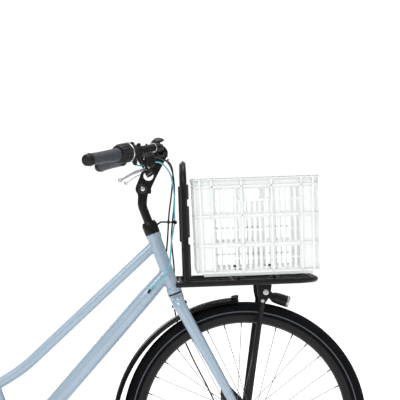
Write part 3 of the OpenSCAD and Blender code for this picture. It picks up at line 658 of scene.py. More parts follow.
def tread_rubber():
    """Tyre: block tread over the crown, fine ribs down to the bead; u runs round the wheel, v across."""
    m = Mat("tyre_rubber", (0.0034, 0.0038, 0.0050), rough=0.6, spec=0.08)
    x = m.split(m.uvs)
    across = m.math("ABSOLUTE", m.math("SUBTRACT", x[1], TYRE_MIDDLE))
    crown = m.remap(across, 0.011, 0.0135, 1, 0)
    slant = m.math("SINE", m.plus(m.times(x[0], 420), m.times(across, 260)))
    blocks = m.remap(slant, -0.9, -0.6, 0, 1)
    lines = m.remap(m.wave(across, 1250), -0.8, -0.5, 0, 1)
    ribs = m.times(m.wave(across, 3600), m.remap(across, 0.016, 0.018, 0, 0.35))
    m.tint(m.noise(40, 4.0), 0.25)
    m.vary_rough(m.noise(150, 3.0), 0.52, 0.72)
    m.bump(m.plus(m.times(m.math("MINIMUM", blocks, lines), crown), ribs), 0.8, 0.0012)
    m.grain(1100, 0.12, 0.0003)
    return m


def saddle_skin():
    """Grained cover with a light sheen."""
    m = Mat("saddle_cover", (0.022, 0.022, 0.024), rough=0.52, spec=0.4, sheen=0.1)
    cells = m.node("TexVoronoi", Scale=520.0, feature="DISTANCE_TO_EDGE")
    m.link(m.coord, cells.inputs["Vector"])
    m.surface(25, 0.25, 70, 0.44, 0.62)
    m.bump(m.remap(cells.outputs[0], 0.0, 0.12, 0, 1), 0.35, 0.0004)
    m.grain(260, 0.12, 0.0006)
    return m


def lamp_lens():
    """Clear lamp lens over a bright reflector, with moulded flutes."""
    m = Mat("lamp_lens", (0.44, 0.46, 0.48), rough=0.08, spec=0.6, metal=0.55, coat=1.0, coat_rough=0.03)
    x = m.split(m.coord)
    m.tint(m.noise(200, 3.0), 0.1)
    m.vary_rough(m.noise(80, 3.0), 0.05, 0.14)
    m.bump(m.times(m.wave(x[1], 1900), m.wave(x[2], 1400)), 0.4, 0.0006)
    return m


def reflector(name, color):
    m = Mat(name, color, rough=0.12, spec=0.6, coat=1.0, slot="lamp_lens")
    m.tint(m.noise(300, 2.0), 0.2)
    m.bump(m.noise(900, 1.0), 0.4, 0.0006)
    return m


def studio_floor():
    """White floor that glows a little, more so away from the bicycle."""
    m = Mat("studio_floor", (0.86, 0.86, 0.865), rough=0.85, spec=0.1)
    m.tint(m.noise(1.5, 2.0), 0.01)
    m.inputs["Emission Color"].default_value = (1, 1, 1, 1)
    x = m.split(m.coord)
    distance = m.plus(m.times(x[0], x[0]), m.times(x[1], x[1]))
    m.link(m.remap(distance, 1.0, 14.0, 0.40, 0.66), m.inputs["Emission Strength"])
    return m


TYRE_MIDDLE = 0.0545  # v at the crown of the tyre
PAINT = paint()
BLACK = black_metal("black_paint", 0.36, 0.0045)
BLACK_ALLOY = black_metal("black_alloy", 0.31, 0.006)
DARK = metal("dark_alloy", (0.045, 0.046, 0.05), 0.40)
STEEL = metal("bright_steel", (0.60, 0.61, 0.63), 0.24)
ALLOY = metal("alloy", (0.60, 0.61, 0.63), 0.26)
SATIN = metal("satin_alloy", (0.50, 0.51, 0.53), 0.40, slot="alloy")
SPOKE = metal("spoke_steel", (0.16, 0.16, 0.165), 0.36, slot="bright_steel")
PLASTIC = plastic("black_plastic", (0.0075, 0.0075, 0.0085), 0.45, spec=0.25)
GUARD = gloss_guard()
CRATE = plastic("white_plastic", (0.81, 0.835, 0.83), 0.36, grain=900, depth=0.05, vary=0.02)
GRIP_RUBBER = ribbed_grip()
TYRE = tread_rubber()
STRIP = plastic("strip_rubber", (0.016, 0.016, 0.018), 0.6, grain=700, depth=0.3, slot="black_plastic")
TEAL = plastic("teal_housing", (0.13, 0.46, 0.55), 0.30, slot="cable_housing")
CABLE = plastic("cable_housing", (0.006, 0.006, 0.007), 0.34, spec=0.25)
SADDLE = saddle_skin()
LENS = lamp_lens()
REFLEX = plastic("reflex_band", (0.055, 0.062, 0.075), 0.35, slot="tyre_rubber")
AMBER = reflector("amber_reflector", (0.75, 0.28, 0.02))
RED = reflector("red_reflector", (0.55, 0.015, 0.012))

slot_materials = {m.slot: m for m in (PAINT, BLACK, BLACK_ALLOY, STEEL, ALLOY, DARK, PLASTIC, GUARD, CRATE,
                                      GRIP_RUBBER, TYRE, CABLE, SADDLE, LENS)}
slot_of = {s["node"]: s["material_slot"] for s in frame["record"]["subparts"]}
body_of = {n: b for b, names in frame["record"]["behaviour"]["bodies"].items() for n in names}
for name, o in nodes.items():
    o.data.materials.clear()
    o.data.materials.append(slot_materials[slot_of[name]].m)


def refine(node, mat=None, bevel=0.0006, seg=2, sharp=38):
    """A finished copy of a CAD node: joined faces, soft edges, clean shading."""
    me = nodes[node].data.copy()
    for a in [a for a in me.attributes if a.name == "custom_normal"]:
        me.attributes.remove(a)
    bm = bmesh.new()
    bm.from_mesh(me)
    bmesh.ops.remove_doubles(bm, verts=bm.verts, dist=2e-6)
    bmesh.ops.dissolve_limit(bm, angle_limit=radians(0.8), verts=bm.verts, edges=bm.edges)
    bm.to_mesh(me)
    bm.free()
    me.materials.clear()
    mat = mat or slot_materials[slot_of[node]]
    finish_mesh(node + "_fine", me, mat, body_of[node], (node,), bevel, seg, sharp)


# ------------ frame and fork
def frame_skin():
    """Painted frame: tubes, shells and stays in one skin, bored for the fork, post, crank and axle."""
    b = Build()
    b.turn([(0, 426), (22, 426), (22, 438), (19.2, 445), (19.2, 590), (22, 597), (22, 609), (0, 609)],
           steer(0), STEER_AXIS, 48)
    b.tube(fillet([V(318, 0, 874.3), V(-62, 0, 515), V(-150, 0, 462)], 0.42, 16), 0.0160, 36)
    top = steer(490)
    down = unit(CRANK - top)
    length = (CRANK - top).length
    b.tube([top + down * s for s in (0.008, 0.03, 0.06, 0.09, 0.2, 0.4, length)],
           lambda k: 0.0196 + 0.00415 * min(1, k * length / 0.09), 44)
    b.tube([on_seat(0), on_seat(485)], 0.017, 40)
    b.turn([(0, -36.5), (19, -36.5), (19, -34), (21, -34), (21, 34), (19, 34), (19, 36.5), (0, 36.5)],
           CRANK, Y, 48)
    for s in SIDES:
        b.tube(fillet([V(-90.7, 24 * s, 291), V(-205, 31.5 * s, 307), V(-524, 70 * s, 349)], 0.2, 10),
               lambda k: 0.009 - 0.0015 * k, 24)
        b.tube(fillet([on_seat(400, 0, 12 * s), V(-252, 38 * s, 636), V(-544, 70 * s, 363)], 0.06, 8),
               lambda k: 0.008 - 0.001 * k, 24)
        b.plate(disc(REAR_AXLE, 19), s, 67.8, 72.8)
        b.plate(mm([(-554, 336), (-518, 339), (-518, 359), (-540, 375), (-558, 371)]), s, 67.8, 72.8)
        b.tube([V(-178, 19 * s, 255), V(-178, 27 * s, 255)], 0.013, 32)
        y0, y1 = sorted((0.019 * s, 0.027 * s))
        b.box((-0.184, y0, 0.262), (-0.172, y1, 0.290))
    b.tube([V(-165, -24, 303), V(-165, 24, 303)], 0.007, 20)
    b.tube([V(-273, -34, 613.5), V(-273, 34, 613.5)], 0.0055, 20)
    b.box((-0.196, -0.033, 0.287), (-0.160, 0.033, 0.294))
    slit = Build().box((-0.029, -0.0013, 0.455), (-0.010, 0.0013, 0.5),
                       lambda x, y, z: on_seat(z * 1000, x * 1000, y * 1000))
    weld("frame_skin", b, (2.4, 2.0), 7, PAINT, "frame",
         ("head_tube", "top_tube", "down_tube", "seat_tube", "bottom_bracket_shell", "rear_stays"),
         (bore(steer(418), steer(618), 0.0151, 40), bore(on_seat(60), on_seat(500), 0.0140, 40),
          bore(V(-80.7, -50, 290), V(-80.7, 50, 290), 0.0085, 32),
          bore(V(-554, -90, 353), V(-554, 90, 353), 0.0054),
          bore(V(-178, -40, 255), V(-178, 40, 255), 0.0084, 32), slit))


def fork_skin():
    """Painted fork: steerer, crown, raked blades and dropouts in one skin."""
    b = Build()
    b.tube([steer(395), steer(642)], 0.0125, 36)
    b.turn([(0, 379), (15, 379), (18.6, 384), (19.4, 404), (21, 411), (21, 422.6), (0, 422.6)],
           steer(0), STEER_AXIS, 48)
    tilt = radians(28.5)
    corners = ((-0.010, 0), (0.010, 0), (0.010, 0.026), (-0.010, 0.026))
    ahead, rise = cos(tilt), sin(tilt)
    tongue = [(0.576 + x * ahead - z * rise, 0.353 + x * rise + z * ahead) for x, z in corners]
    for s in SIDES:
        path = fillet([steer(409, 0, 8 * s), steer(399, 0, 40 * s), steer(14, 57, 57 * s)], 0.042, 12)
        b.tube(path, lambda k: 0.0185 - 0.0075 * k, 32, rb=lambda k: 0.014 - 0.0055 * k, up=AHEAD, dome=0.006)
        b.plate(disc(FRONT_AXLE, 15), s, 50.5, 56)
        b.plate(tongue, s, 50.5, 56)
    weld("fork_skin", b, (2.0, 1.6), 6, PAINT, FORK, ("fork",),
         (bore(steer(440), steer(660), 0.0114, 36), front_axle_bore()))


def front_axle_bore():
    return bore(V(576, -90, 353), V(576, 90, 353), 0.0053)


frame_skin()
fork_skin()

# ------------ wheels and mudguards
FRONT_GUARD = V(568, 0, 343)
FRONT_GUARD_RADIUS, REAR_GUARD_RADIUS = 0.376, 0.375
GUARD_HALF_WIDTH, GUARD_DEPTH, GUARD_WALL = 0.026, 0.0118, 0.0018
ARCH_STEPS = 16


def guard(name, centre, r, a0, a1, body, node):
    """Mudguard: an arched shell with rolled edges, from angle a0 to a1 in degrees, closed by end bands."""
    w, low = GUARD_HALF_WIDTH, r - GUARD_DEPTH
    turns = [radians(90 - 180 * k / ARCH_STEPS) for k in range(ARCH_STEPS + 1)]
    outer = [(low + GUARD_DEPTH * cos(q), w * sin(q)) for q in turns]
    inner = [(low + (GUARD_DEPTH - GUARD_WALL) * cos(q), (w - GUARD_WALL) * sin(q)) for q in reversed(turns)]
    lip = [(low - 0.0012, -w - 0.0004), (low - 0.0024, -w), (low - 0.0028, -w + 0.0012),
           (low - 0.0022, -w + 0.0026), (low - 0.0008, -w + 0.0026)]
    prof = outer + lip + inner + [(p[0], -p[1]) for p in reversed(lip)]
    b = Build().lathe(prof, centre, -Y, 150, X, radians(a0), radians(a1), ring=True)
    band = [(p[0] + 0.0011, p[1] * 1.03) for p in outer] + [(p[0], p[1] * 1.03) for p in lip[:2]]
    band += [(p[0] - 0.0024, p[1] * 0.93) for p in reversed(band)]
    for a, s in ((a0, 1), (a1, -1)):
        b.lathe(band, centre, -Y, 4, X, radians(a - 0.05 * s), radians(a + 1.3 * s), ring=True)
    b.done(name, GUARD, body, (node,), sharp=50)


guard("front_guard", FRONT_GUARD, FRONT_GUARD_RADIUS, 92, 205, FORK, "front_mudguard")
guard("rear_guard", REAR, REAR_GUARD_RADIUS, -2, 204, "frame", "rear_mudguard")

TYRE_RADIUS, TYRE_SECTION, WHEEL_STEPS = 0.332, 0.021, 240
VALVE_ANGLE = radians(-113)
RIM_HALF = [(292, -5), (292.6, -6.6), (297, -12.6), (298, -12.9), (317.6, -12.9), (318.2, -12.4),
            (317.6, -11.6), (312.4, -11), (311.6, -9), (311.2, 0)]
VALVE = [(0, 292.5), (4.2, 292.5), (4.2, 290.5), (3, 289.5), (3, 266), (4, 265), (4, 257), (2.6, 255),
         (0, 255)]


def wheel(tag, hub, body):
    """Tyre with reflective bands, rim and valve."""
    arc = [radians(-147 + 294 * k / 40) for k in range(41)]
    section = [(TYRE_RADIUS + TYRE_SECTION * cos(q), TYRE_SECTION * sin(q)) for q in arc]
    tread = Build().lathe([(0.3118, -0.0108)] + section + [(0.3118, 0.0108)], hub, -Y, WHEEL_STEPS, X,
                          ring=True)
    tread.done(tag + "_tread", TYRE, body, (tag + "_tyre",), sharp=60)
    bands = Build()
    outside = TYRE_SECTION + 0.0002
    for s in SIDES:
        turns = [radians(q) for q in (101, 104, 107, 110)]
        bands.lathe([(TYRE_RADIUS + outside * cos(q), s * outside * sin(q)) for q in turns],
                    hub, -Y, WHEEL_STEPS, X)
    bands.done(tag + "_reflex", REFLEX, body, sharp=60)
    rim = mm(RIM_HALF + [(r, -y) for r, y in reversed(RIM_HALF[:-1])])
    rim = Build().lathe(rim, hub, -Y, WHEEL_STEPS, X, ring=True)
    rim.done(tag + "_rim_fine", BLACK_ALLOY, body, (tag + "_rim",), sharp=32)
    valve = Build().turn(VALVE, hub, Vector((cos(VALVE_ANGLE), 0, sin(VALVE_ANGLE))), 24)
    valve.done(tag + "_valve", STEEL, body, sharp=30)


wheel("front", FRONT, "front_wheel")
wheel("rear", REAR, "rear_wheel")
for n in ("front_hub", "rear_hub", "sprocket", "chainring"):
    refine(n, bevel=0.0005)


# ------------ crate
def crate():
    """Slotted crate, built upright and tapered and tilted onto the carrier by at().

    Walls are numbered anticlockwise from the near one; t runs along a wall, d out of it.
    """
    b = Build()
    half_long, half_wide, corner = 0.172, 0.134, 0.013
    ribs_long, ribs_short = (0.0425, 0.127), (0.033, 0.098)
    rib, rib_out, wall, slot_depth = 0.007, 0.0058, -0.003, -0.0003
    rail_heights = ((0.0, 0.0085), (0.0700, 0.0845), (0.1500, 0.1650), (0.2330, 0.264))
    slot_rows = [(lower[1], upper[0]) for lower, upper in zip(rail_heights, rail_heights[1:])]

    def at(x, y, z):
        k = z / 0.264
        return carrier(200.5 + x * 1000 * (331 + 8 * k) / 344, y * 1000 * (262 + 10 * k) / 268,
                       27.4 + z * 1010)

    def spot(w, t, d):
        return ((t, -half_wide - d), (half_long + d, t), (-t, half_wide + d), (-half_long - d, -t))[w]

    def block(w, t0, t1, z0, z1, d0, d1):
        def put(x, y, z):
            px, py = spot(w, x, z)
            return at(px, py, y)
        b.prism([(t0, z0), (t1, z0), (t1, z1), (t0, z1)], put, d0, d1)

    def rounding(w, d):
        """Points round the corner after wall w, d outside the wall's face."""
        x, y = half_long - corner, half_wide - corner
        cx, cy = ((x, -y), (x, y), (-x, y), (-x, -y))[w]
        turns = [radians(-90 + 90 * w + 15 * k) for k in range(7)]
        return [(cx + (corner + d) * cos(q), cy + (corner + d) * sin(q)) for q in turns]

    def band(z0, z1, d0, d1, ends=None):
        """Rectangle swept round the crate, or round one corner from ends[1] on wall ends[0] to ends[2]."""
        loops = []
        for d, z in ((d0, z0), (d1, z0), (d1, z1), (d0, z1)):
            if ends:
                w, t0, t1 = ends
                line = [spot(w, t0, d)] + rounding(w, d) + [spot((w + 1) % 4, t1, d)]
            else:
                line = [p for w in range(4) for p in rounding(w, d)]
            loops.append([at(x, y, z) for x, y in line])
        rows = [list(ring) for ring in zip(*loops)]
        if ends:
            b.solid(rows)
        else:
            b.grid(rows, close_u=True, close_v=True)

    def handle(w, lo, hi):
        """Grip hole in the upper row: its lower bar, its side bars and its rounded corners."""
        block(w, lo, hi, 0.196, 0.203, -0.0035, 0.0030)
        for t in (lo - 0.001, hi - 0.003):
            block(w, t, t + 0.004, 0.200, 0.236, -0.0035, 0.0028)
        for t, s in ((lo, 1), (hi, -1)):
            for k in range(3):
                t0, t1 = sorted((t, t + s * 0.0075 * (1 - k / 3)))
                block(w, t0, t1, 0.203, 0.2035 + 0.002 * (k + 1), wall, 0)
                block(w, t0, t1, 0.2325 - 0.002 * (k + 1), 0.233, wall, 0)

    def slots(w, lo, hi, z0, z1, gap):
        """Four slits between two ribs."""
        step = (hi - lo + gap) / 5
        upper_middle = z0 > 0.16 and abs(lo + hi) < 1e-6
        for k in range(1, 5):
            t = lo + k * step - gap
            block(w, t, t + gap, z0, 0.198 if upper_middle else z1, wall, slot_depth)
        if upper_middle:
            handle(w, lo, hi)
        else:
            middle = z0 + (z1 - z0) * 0.51
            block(w, lo, hi, middle - 0.002, middle + 0.002, wall, -0.0005)

    band(-0.0088, 0.0005, -0.0170, -0.0138)
    band(0.0, 0.0014, -0.0170, -0.0008)
    for z0, z1 in rail_heights:
        band(z0, z1, wall if z0 else -0.004, 0 if z0 else -0.0012)
    for z0 in (0.0002, 0.0752, 0.1557, 0.2362):
        band(z0, z0 + 0.0044, -0.001, rib_out)
    band(0.2600, 0.264, -0.002, 0.0086)
    band(0.2575, 0.2620, 0.0072, 0.0086)
    for w in range(4):
        (near, far), (_, next_far) = (ribs_long, ribs_short) if w % 2 == 0 else (ribs_short, ribs_long)
        half = (half_long if w % 2 == 0 else half_wide) - corner
        gap = 0.0073 if w % 2 == 0 else 0.0060
        for z0, z1 in slot_rows:
            band(z0, z1, wall, 0, (w, far - rib, rib - next_far))
            for s in SIDES:
                t0, t1 = sorted((s * (near - rib), s * (near + rib)))
                block(w, t0, t1, z0, z1, wall, 0)
            for lo, hi in ((rib - far, -near - rib), (rib - near, near - rib), (near + rib, far - rib)):
                slots(w, lo, hi, z0, z1, gap)
        for t in (-half - 0.001, -far, -near, near, far, half + 0.001):
            block(w, t - 0.0026, t + 0.0026, 0.0004, 0.2610, -0.001, rib_out)
    floor_x, floor_y = half_long - 0.015, half_wide - 0.015
    for i in range(-6, 6):
        x = (i + 0.5) * 0.0232
        b.box((x - 0.003, -floor_y, 0.0002), (x + 0.003, floor_y, 0.0040), at)
    for j in range(-4, 4):
        y = (j + 0.5) * 0.0252
        b.box((-floor_x, y - 0.003, 0.0005), (floor_x, y + 0.003, 0.0036), at)
    b.done("crate_lattice", CRATE, FORK, ("crate",), bevel=0.0005, seg=2)


crate()


# ------------ front carrier
def carrier_frame():
    """Platform and hoop tubes, each welded into one skin."""
    def rounded(points, radius):
        return fillet([carrier(*p) for p in points], radius, 12)

    platform = Build()
    corners = [(-29, -130, 0), (364, -130, 0), (364, 130, 0), (-29, 130, 0)]
    platform.tube(rounded(corners, 0.058), 0.008, 28, up=Z, dome=0.004)
    for x in (-16, 134, 257):
        platform.tube([carrier(x, -130, 0), carrier(x, 130, 0)], 0.005, 20)
    for y in (-32, 32):
        platform.tube([carrier(-16, y, -1), carrier(362, y, -1)], 0.004, 18)
    hoop = Build()
    corners = [(0, -130, 0), (0, -130, 337), (0, 130, 337), (0, 130, 0)]
    hoop.tube(rounded(corners, 0.065), 0.008, 28, up=X)
    for z in (121, 227):
        hoop.tube([carrier(0, -130, z), carrier(0, 130, z)], 0.004, 18)
    weld("platform_skin", platform, (1.6, 1.3), 3, BLACK, FORK, ("carrier_platform",))
    weld("hoop_skin", hoop, (1.6, 1.3), 3, BLACK, FORK, ("carrier_hoop",))


def hoop_pads():
    """Rubber pads on the hoop, tapered at both ends, over a backing strip."""
    half = [(5.4, 5.2), (9.2, 5.0), (11.4, 3.6), (12.4, 1.4)]
    prof = [(x, -y) for x, y in half] + half[::-1]
    b = Build()
    for s in SIDES:
        for z0, z1 in ((24, 112), (130, 218), (236, 278)):
            levels = ((z0, 0.7), (z0 + 1.6, 1.0), (z1 - 1.6, 1.0), (z1, 0.7))
            b.solid([[carrier(5.4 + (x - 5.4) * k, 130 * s + y, z) for x, y in prof] for z, k in levels])
        b.box((-0.0125, 0.126, 0.110), (-0.0070, 0.134, 0.276),
              lambda x, y, z: carrier(x * 1000, y * 1000 * s, z * 1000))
    b.done("hoop_pads", STRIP, FORK, ("hoop_strips",), bevel=0.0012)


def carrier_legs():
    b = Build()
    for s in SIDES:
        b.tube([V(577, 63.5 * s, 387), V(620, 75 * s, 716)], 0.0075, 28)
        b.tube([V(576, 59 * s, 359), V(577, 61.5 * s, 391)], 0.0055)
        b.plate(disc(FRONT_AXLE, 13), s, 61, 65.4)
        b.plate(mm([(568, 353), (584, 353), (584, 389), (568, 389)]), s, 61, 65.4)
    weld("leg_skin", b, (1.7, 1.4), 3, BLACK, FORK, ("carrier_legs",), (front_axle_bore(),))


def carrier_fixings():
    refine("carrier_brackets", bevel=0.0008)
    bolts, nuts, crown = Build(), Build(), Build()
    for s in SIDES:
        bolts.washer_bolt(V(629, 83 * s, 740), Y * s, 5.6)
        bolts.washer_bolt(V(620, 83 * s, 716), Y * s, 2.4)
        nuts.hexnut(V(655, 15.0 * s, 720), Y * s, 4.2, 3.2)
    bolts.done("bracket_bolts", STEEL, FORK, sharp=32)
    nuts.done("lamp_hinge_nuts", BLACK, FORK, sharp=32)
    refine("crate_bolts")
    crown.tube([steer(391, -21), steer(391, 22)], 0.0030, 20)
    crown.hexnut(steer(391, 19), AHEAD, 5.0, 4.2)
    crown.hexnut(steer(391, -18), -AHEAD, 5.0, 4.2)
    crown.done("crown_bolt", DARK, FORK, sharp=32)


def guard_lip():
    """Turned-up rubber lip on the leading end of the front mudguard."""
    a = radians(92.4)
    out, along = Vector((cos(a), 0, sin(a))), Vector((sin(a), 0, -cos(a)))
    b = Build()
    for height, back, long, wide, thick, p in ((0.0012, 0.006, 0.0105, 0.0185, 0.0042, 3),
                                               (0.0036, 0.002, 0.0072, 0.0170, 0.0034, 2.2)):
        b.blob(FRONT_GUARD + out * (FRONT_GUARD_RADIUS + height) - along * back,
               along * long, Y * wide, out * thick, p)
    b.done("guard_lip", STRIP, FORK, sharp=50)


carrier_frame()
hoop_pads()
carrier_legs()
carrier_fixings()
guard_lip()

# ------------ head lamp
LAMP_DIP = radians(18)
LAMP_SHELL = [(0, -5.5), (5, -5.5), (9, -4.4), (12.5, 0), (14.6, 5), (15.6, 10), (15.9, 16), (16.3, 38),
              (16.9, 39.5), (16.9, 42.2), (15.8, 42.6), (15.2, 41.6), (14.9, 39), (0, 39)]
LAMP_GLASS = [(0, 39.3), (14.5, 39.3), (15.1, 42.8), (16.1, 43.2), (16.8, 44.4), (16.9, 49.2), (15.8, 50.9),
              (12, 51.7), (8, 52.1), (4, 52.3), (0, 52.4)]


def lamp(x, y, z):
    """Point in the lamp's frame: x along its beam from the hinge, y to the left."""
    a = LAMP_DIP
    return V(655 + x * cos(a) + z * sin(a), y, 720 - x * sin(a) + z * cos(a))


def head_lamp():
    """Ribbed shell with a hinge lug, and the clear glass."""
    hinge = lamp(0, 0, 0)
    beam = unit(lamp(1, 0, 0) - hinge)
    b = Build().turn(LAMP_SHELL, hinge, beam, 56)
    for k in range(5):
        t = 18 + 3.4 * k
        b.turn([(15.4, t), (16.75, t + 0.4), (16.75, t + 1.6), (15.4, t + 2)], hinge, beam, 56)
    b.blob(lamp(1, 0, 0), lamp(8, 0, 0) - hinge, Y * 0.0086, lamp(0, 0, 9) - hinge, 4)
    b.done("lamp_shell", PLASTIC, "headlight", ("headlight_housing",), sharp=30)
    glass = Build().turn(LAMP_GLASS, hinge, beam, 56)
    glass.done("lamp_glass", LENS, "headlight", ("headlight_lens",), sharp=50)


def front_guard_stays():
    """Wire stays from the axle to the tail of the front mudguard, with an eye on each side."""
    a = radians(192)
    b = Build()
    for s in SIDES:
        end = V(568 + 363 * cos(a), 28 * s, 343 + 363 * sin(a))
        b.tube(fillet([V(568, 68 * s, 341), V(548, 62 * s, 338.5), end], 0.03, 6), 0.0023, 14)
        b.turn([(5.3, -1.2), (9, -1.2), (9, 1.2), (5.3, 1.2)], V(576, 67.6 * s, 353), Y, 30, ring=True)
        b.tube([V(568, 68 * s, 341), V(571, 68 * s, 346)], 0.0023, 12)
    b.done("front_guard_stays", BLACK, FORK, ("front_mudguard_stays",))


head_lamp()
front_guard_stays()

# ------------ handlebar, grips and controls
BAR_END = V(139, 314, 1104)
GRIP = unit(V(330, 95, 1150) - BAR_END)
BAR_RADIUS = 0.0111
GRIP_PROFILE = [(11, 13.2), (16.0, 13.4), (16.3, 16), (16.1, 40), (16.2, 64), (16.9, 92), (18.0, 113),
                (18.3, 116), (17.8, 118), (11, 118.2)]
GRIP_CAP = [(0, -6), (11.5, -6), (13.8, -5.2), (15.2, -3.2), (15.7, 0), (15.8, 7.2), (17.2, 7.8), (17.5, 9),
            (17.5, 12), (17.0, 13.2), (11, 13.2)]


def bar_and_grips():
    ends = [BAR_END, V(330, 95, 1150)]
    line = [flip(ends[0]), flip(ends[1]), V(334, -42, 1135), V(334, 42, 1135), ends[1], ends[0]]
    tube = Build().tube(fillet(line, 0.048, 14), BAR_RADIUS, 36, up=Z)
    tube.done("bar_tube", BLACK_ALLOY, BAR, ("handlebar",))
    sleeves = Build().turn(GRIP_PROFILE, BAR_END, GRIP, 64).mirrored()
    sleeves.done("grip_sleeves", GRIP_RUBBER, BAR, ("grips",), sharp=50)
    caps = Build().turn(GRIP_CAP, BAR_END, GRIP, 56).mirrored()
    caps.done("grip_caps", PLASTIC, BAR, sharp=40)


# each station is a place along the sleeve, a radius and the height of its flutes, in millimetres
TWIST_SLEEVE = [(119, 12, 0), (119, 22.6, 0), (119.8, 23.8, 0), (123, 24.6, 0), (124.4, 24.9, 0.3),
                (126.5, 25.3, 1.7), (140, 25.5, 1.8), (152.5, 25.4, 1.7), (154.6, 25.2, 0.4), (155.6, 25.0, 0),
                (156.1, 24, 0), (156.1, 12, 0)]
FLUTES, SLEEVE_STEPS = 18, 216


def twist_sleeve(origin, axis):
    """Fluted sleeve: its radius ripples round the axis."""
    axis = unit(axis)
    x = unit(Z - axis * Z.dot(axis))
    y = axis.cross(x)
    rows = []
    for s, r, height in TWIST_SLEEVE:
        row = []
        for k in range(SLEEVE_STEPS):
            q = 2 * pi * k / SLEEVE_STEPS
            ripple = (0.5 + 0.5 * cos(FLUTES * q)) ** 0.6
            out = x * cos(q) + y * sin(q)
            row.append(origin + axis * (s / 1000) + out * ((r + height * ripple) / 1000))
        rows.append(row)
    b = Build()
    b.grid(rows, close_u=True)
    b.done("twist_sleeve", PLASTIC, "twist_shifter", ("twist_shifter",), sharp=50)


def gear_control():
    """Twist sleeve, its ring, and the housing with the indicator window, on the right."""
    origin, axis = flip(BAR_END), flip(GRIP)
    twist_sleeve(origin, axis)
    ring = [(12, 156.5), (26.4, 156.5), (27.3, 157.1), (27.4, 159.4), (26.6, 160.2), (12, 160.2)]
    ring = Build().turn(ring, origin, axis, 72)
    ring.done("shifter_ring", STEEL, BAR, sharp=30)
    b = Build()
    b.turn([(0, 160.4), (24.6, 160.4), (24.9, 161.4), (24.4, 166), (22.6, 176), (20.6, 182.4), (18.5, 183.6),
            (0, 183.6)], origin, axis, 48)
    outlet = origin + axis * 0.171
    b.tube([outlet + V(4, 4, -10), outlet + V(13, 16.5, -32)], lambda k: 0.0082 - 0.0018 * k, 28)
    up = unit(Z + axis * -0.15)
    across = up.cross(axis)
    b.blob(origin + axis * 0.170 + up * 0.0205, axis * 0.0112, across * 0.0135, up * 0.0075, 3)
    weld("gear_housing", b, (1.1, 0.8), 4, PLASTIC, BAR, sharp=50)
    place = origin + axis * 0.168 + up * 0.0262
    window = Build().blob(place, axis * 0.0066, across * 0.0094, up * 0.0024, 3)
    window.done("gear_window", ALLOY, BAR)


LEVER_PIVOT = V(293, 160, 1086)
LEVER_ALONG = unit(Vector((-75, 110, -30)))
LEVER_UP = Vector((0.645, 0.576, 0.502))
LEVER_UP = unit(LEVER_UP - LEVER_ALONG * LEVER_UP.dot(LEVER_ALONG))
LEVER_ACROSS = LEVER_UP.cross(LEVER_ALONG)


def lever(x, y, z):
    """Point in the left brake lever's frame: x along the blade from its pivot, z along the pivot."""
    return LEVER_PIVOT + (LEVER_ALONG * x + LEVER_ACROSS * y + LEVER_UP * z) * 0.001


def lever_mount(tag, F):
    """Bar clamp, arm, fork and cable stop; F puts a point or direction of the left side on this side."""
    def place(x, y, z):
        return F(lever(x * 1000, y * 1000, z * 1000))
    origin, axis = F(BAR_END), F(GRIP)
    clamp = origin + axis * 0.195
    b = Build()
    b.turn([(0, 183.8), (15.4, 183.8), (16.5, 185), (16.5, 205), (15.4, 206.2), (0, 206.2)], origin, axis, 48)
    b.tube([clamp + F(V(3, 3, -10)), F(LEVER_PIVOT + V(-10, 2, 14))], lambda k: 0.0088 - 0.0022 * k, 28)
    b.blob(clamp + F(V(6, 5, 14)), axis * 0.009, F(Y) * 0.006, Z * 0.007, 3)
    for z0, z1 in ((-0.0076, -0.0044), (0.0044, 0.0076)):
        ear = [(0.008 * cos(radians(a)), 0.008 * sin(radians(a))) for a in range(0, 181, 12)]
        b.prism(ear + [(-0.008, -0.016), (0.008, -0.016)], place, z0, z1)
    b.box((-0.008, -0.017, -0.0076), (0.008, -0.0095, 0.0076), place)
    b.blob(F(LEVER_PIVOT - LEVER_ALONG * 0.013 + V(2, 0, 19)), F(LEVER_ALONG) * 0.023,
           F(unit(LEVER_ALONG.cross(Z))) * 0.0085, Z * 0.019, 3.2)
    b.tube([F(LEVER_PIVOT + V(2, -2, 8)), F(LEVER_PIVOT + V(6, -8, 18))], lambda k: 0.0052 - 0.0012 * k)
    weld("lever_mount_" + tag, b, (1.0, 0.8), 2, BLACK, BAR,
         ("lever_clamps",) if tag == "left" else (),
         (bore(origin + axis * 0.17, origin + axis * 0.22, BAR_RADIUS, 32),), sharp=45)
    bolts = Build()
    for s in SIDES:
        bolts.bolt(F(lever(0, 0, 7.4 * s)), F(LEVER_UP * s), 4.4, 2.4, 2.0)
    bolts.bolt(clamp + F(V(6, 5, 20.6)), Z, 3.4, 2.2, 1.7)
    bolts.tube([F(LEVER_PIVOT + V(5.5, -7.4, 17)), F(LEVER_PIVOT + V(9, -12, 26))], 0.0036)
    bolts.turn([(0, 0), (4.8, 0), (5, 0.8), (5, 4.4), (4.6, 5), (0, 5)],
               F(LEVER_PIVOT + V(8, -10.6, 23)), F(V(4, -6, 10)), 28)
    bolts.done("lever_bolts_" + tag, STEEL, BAR, sharp=32)


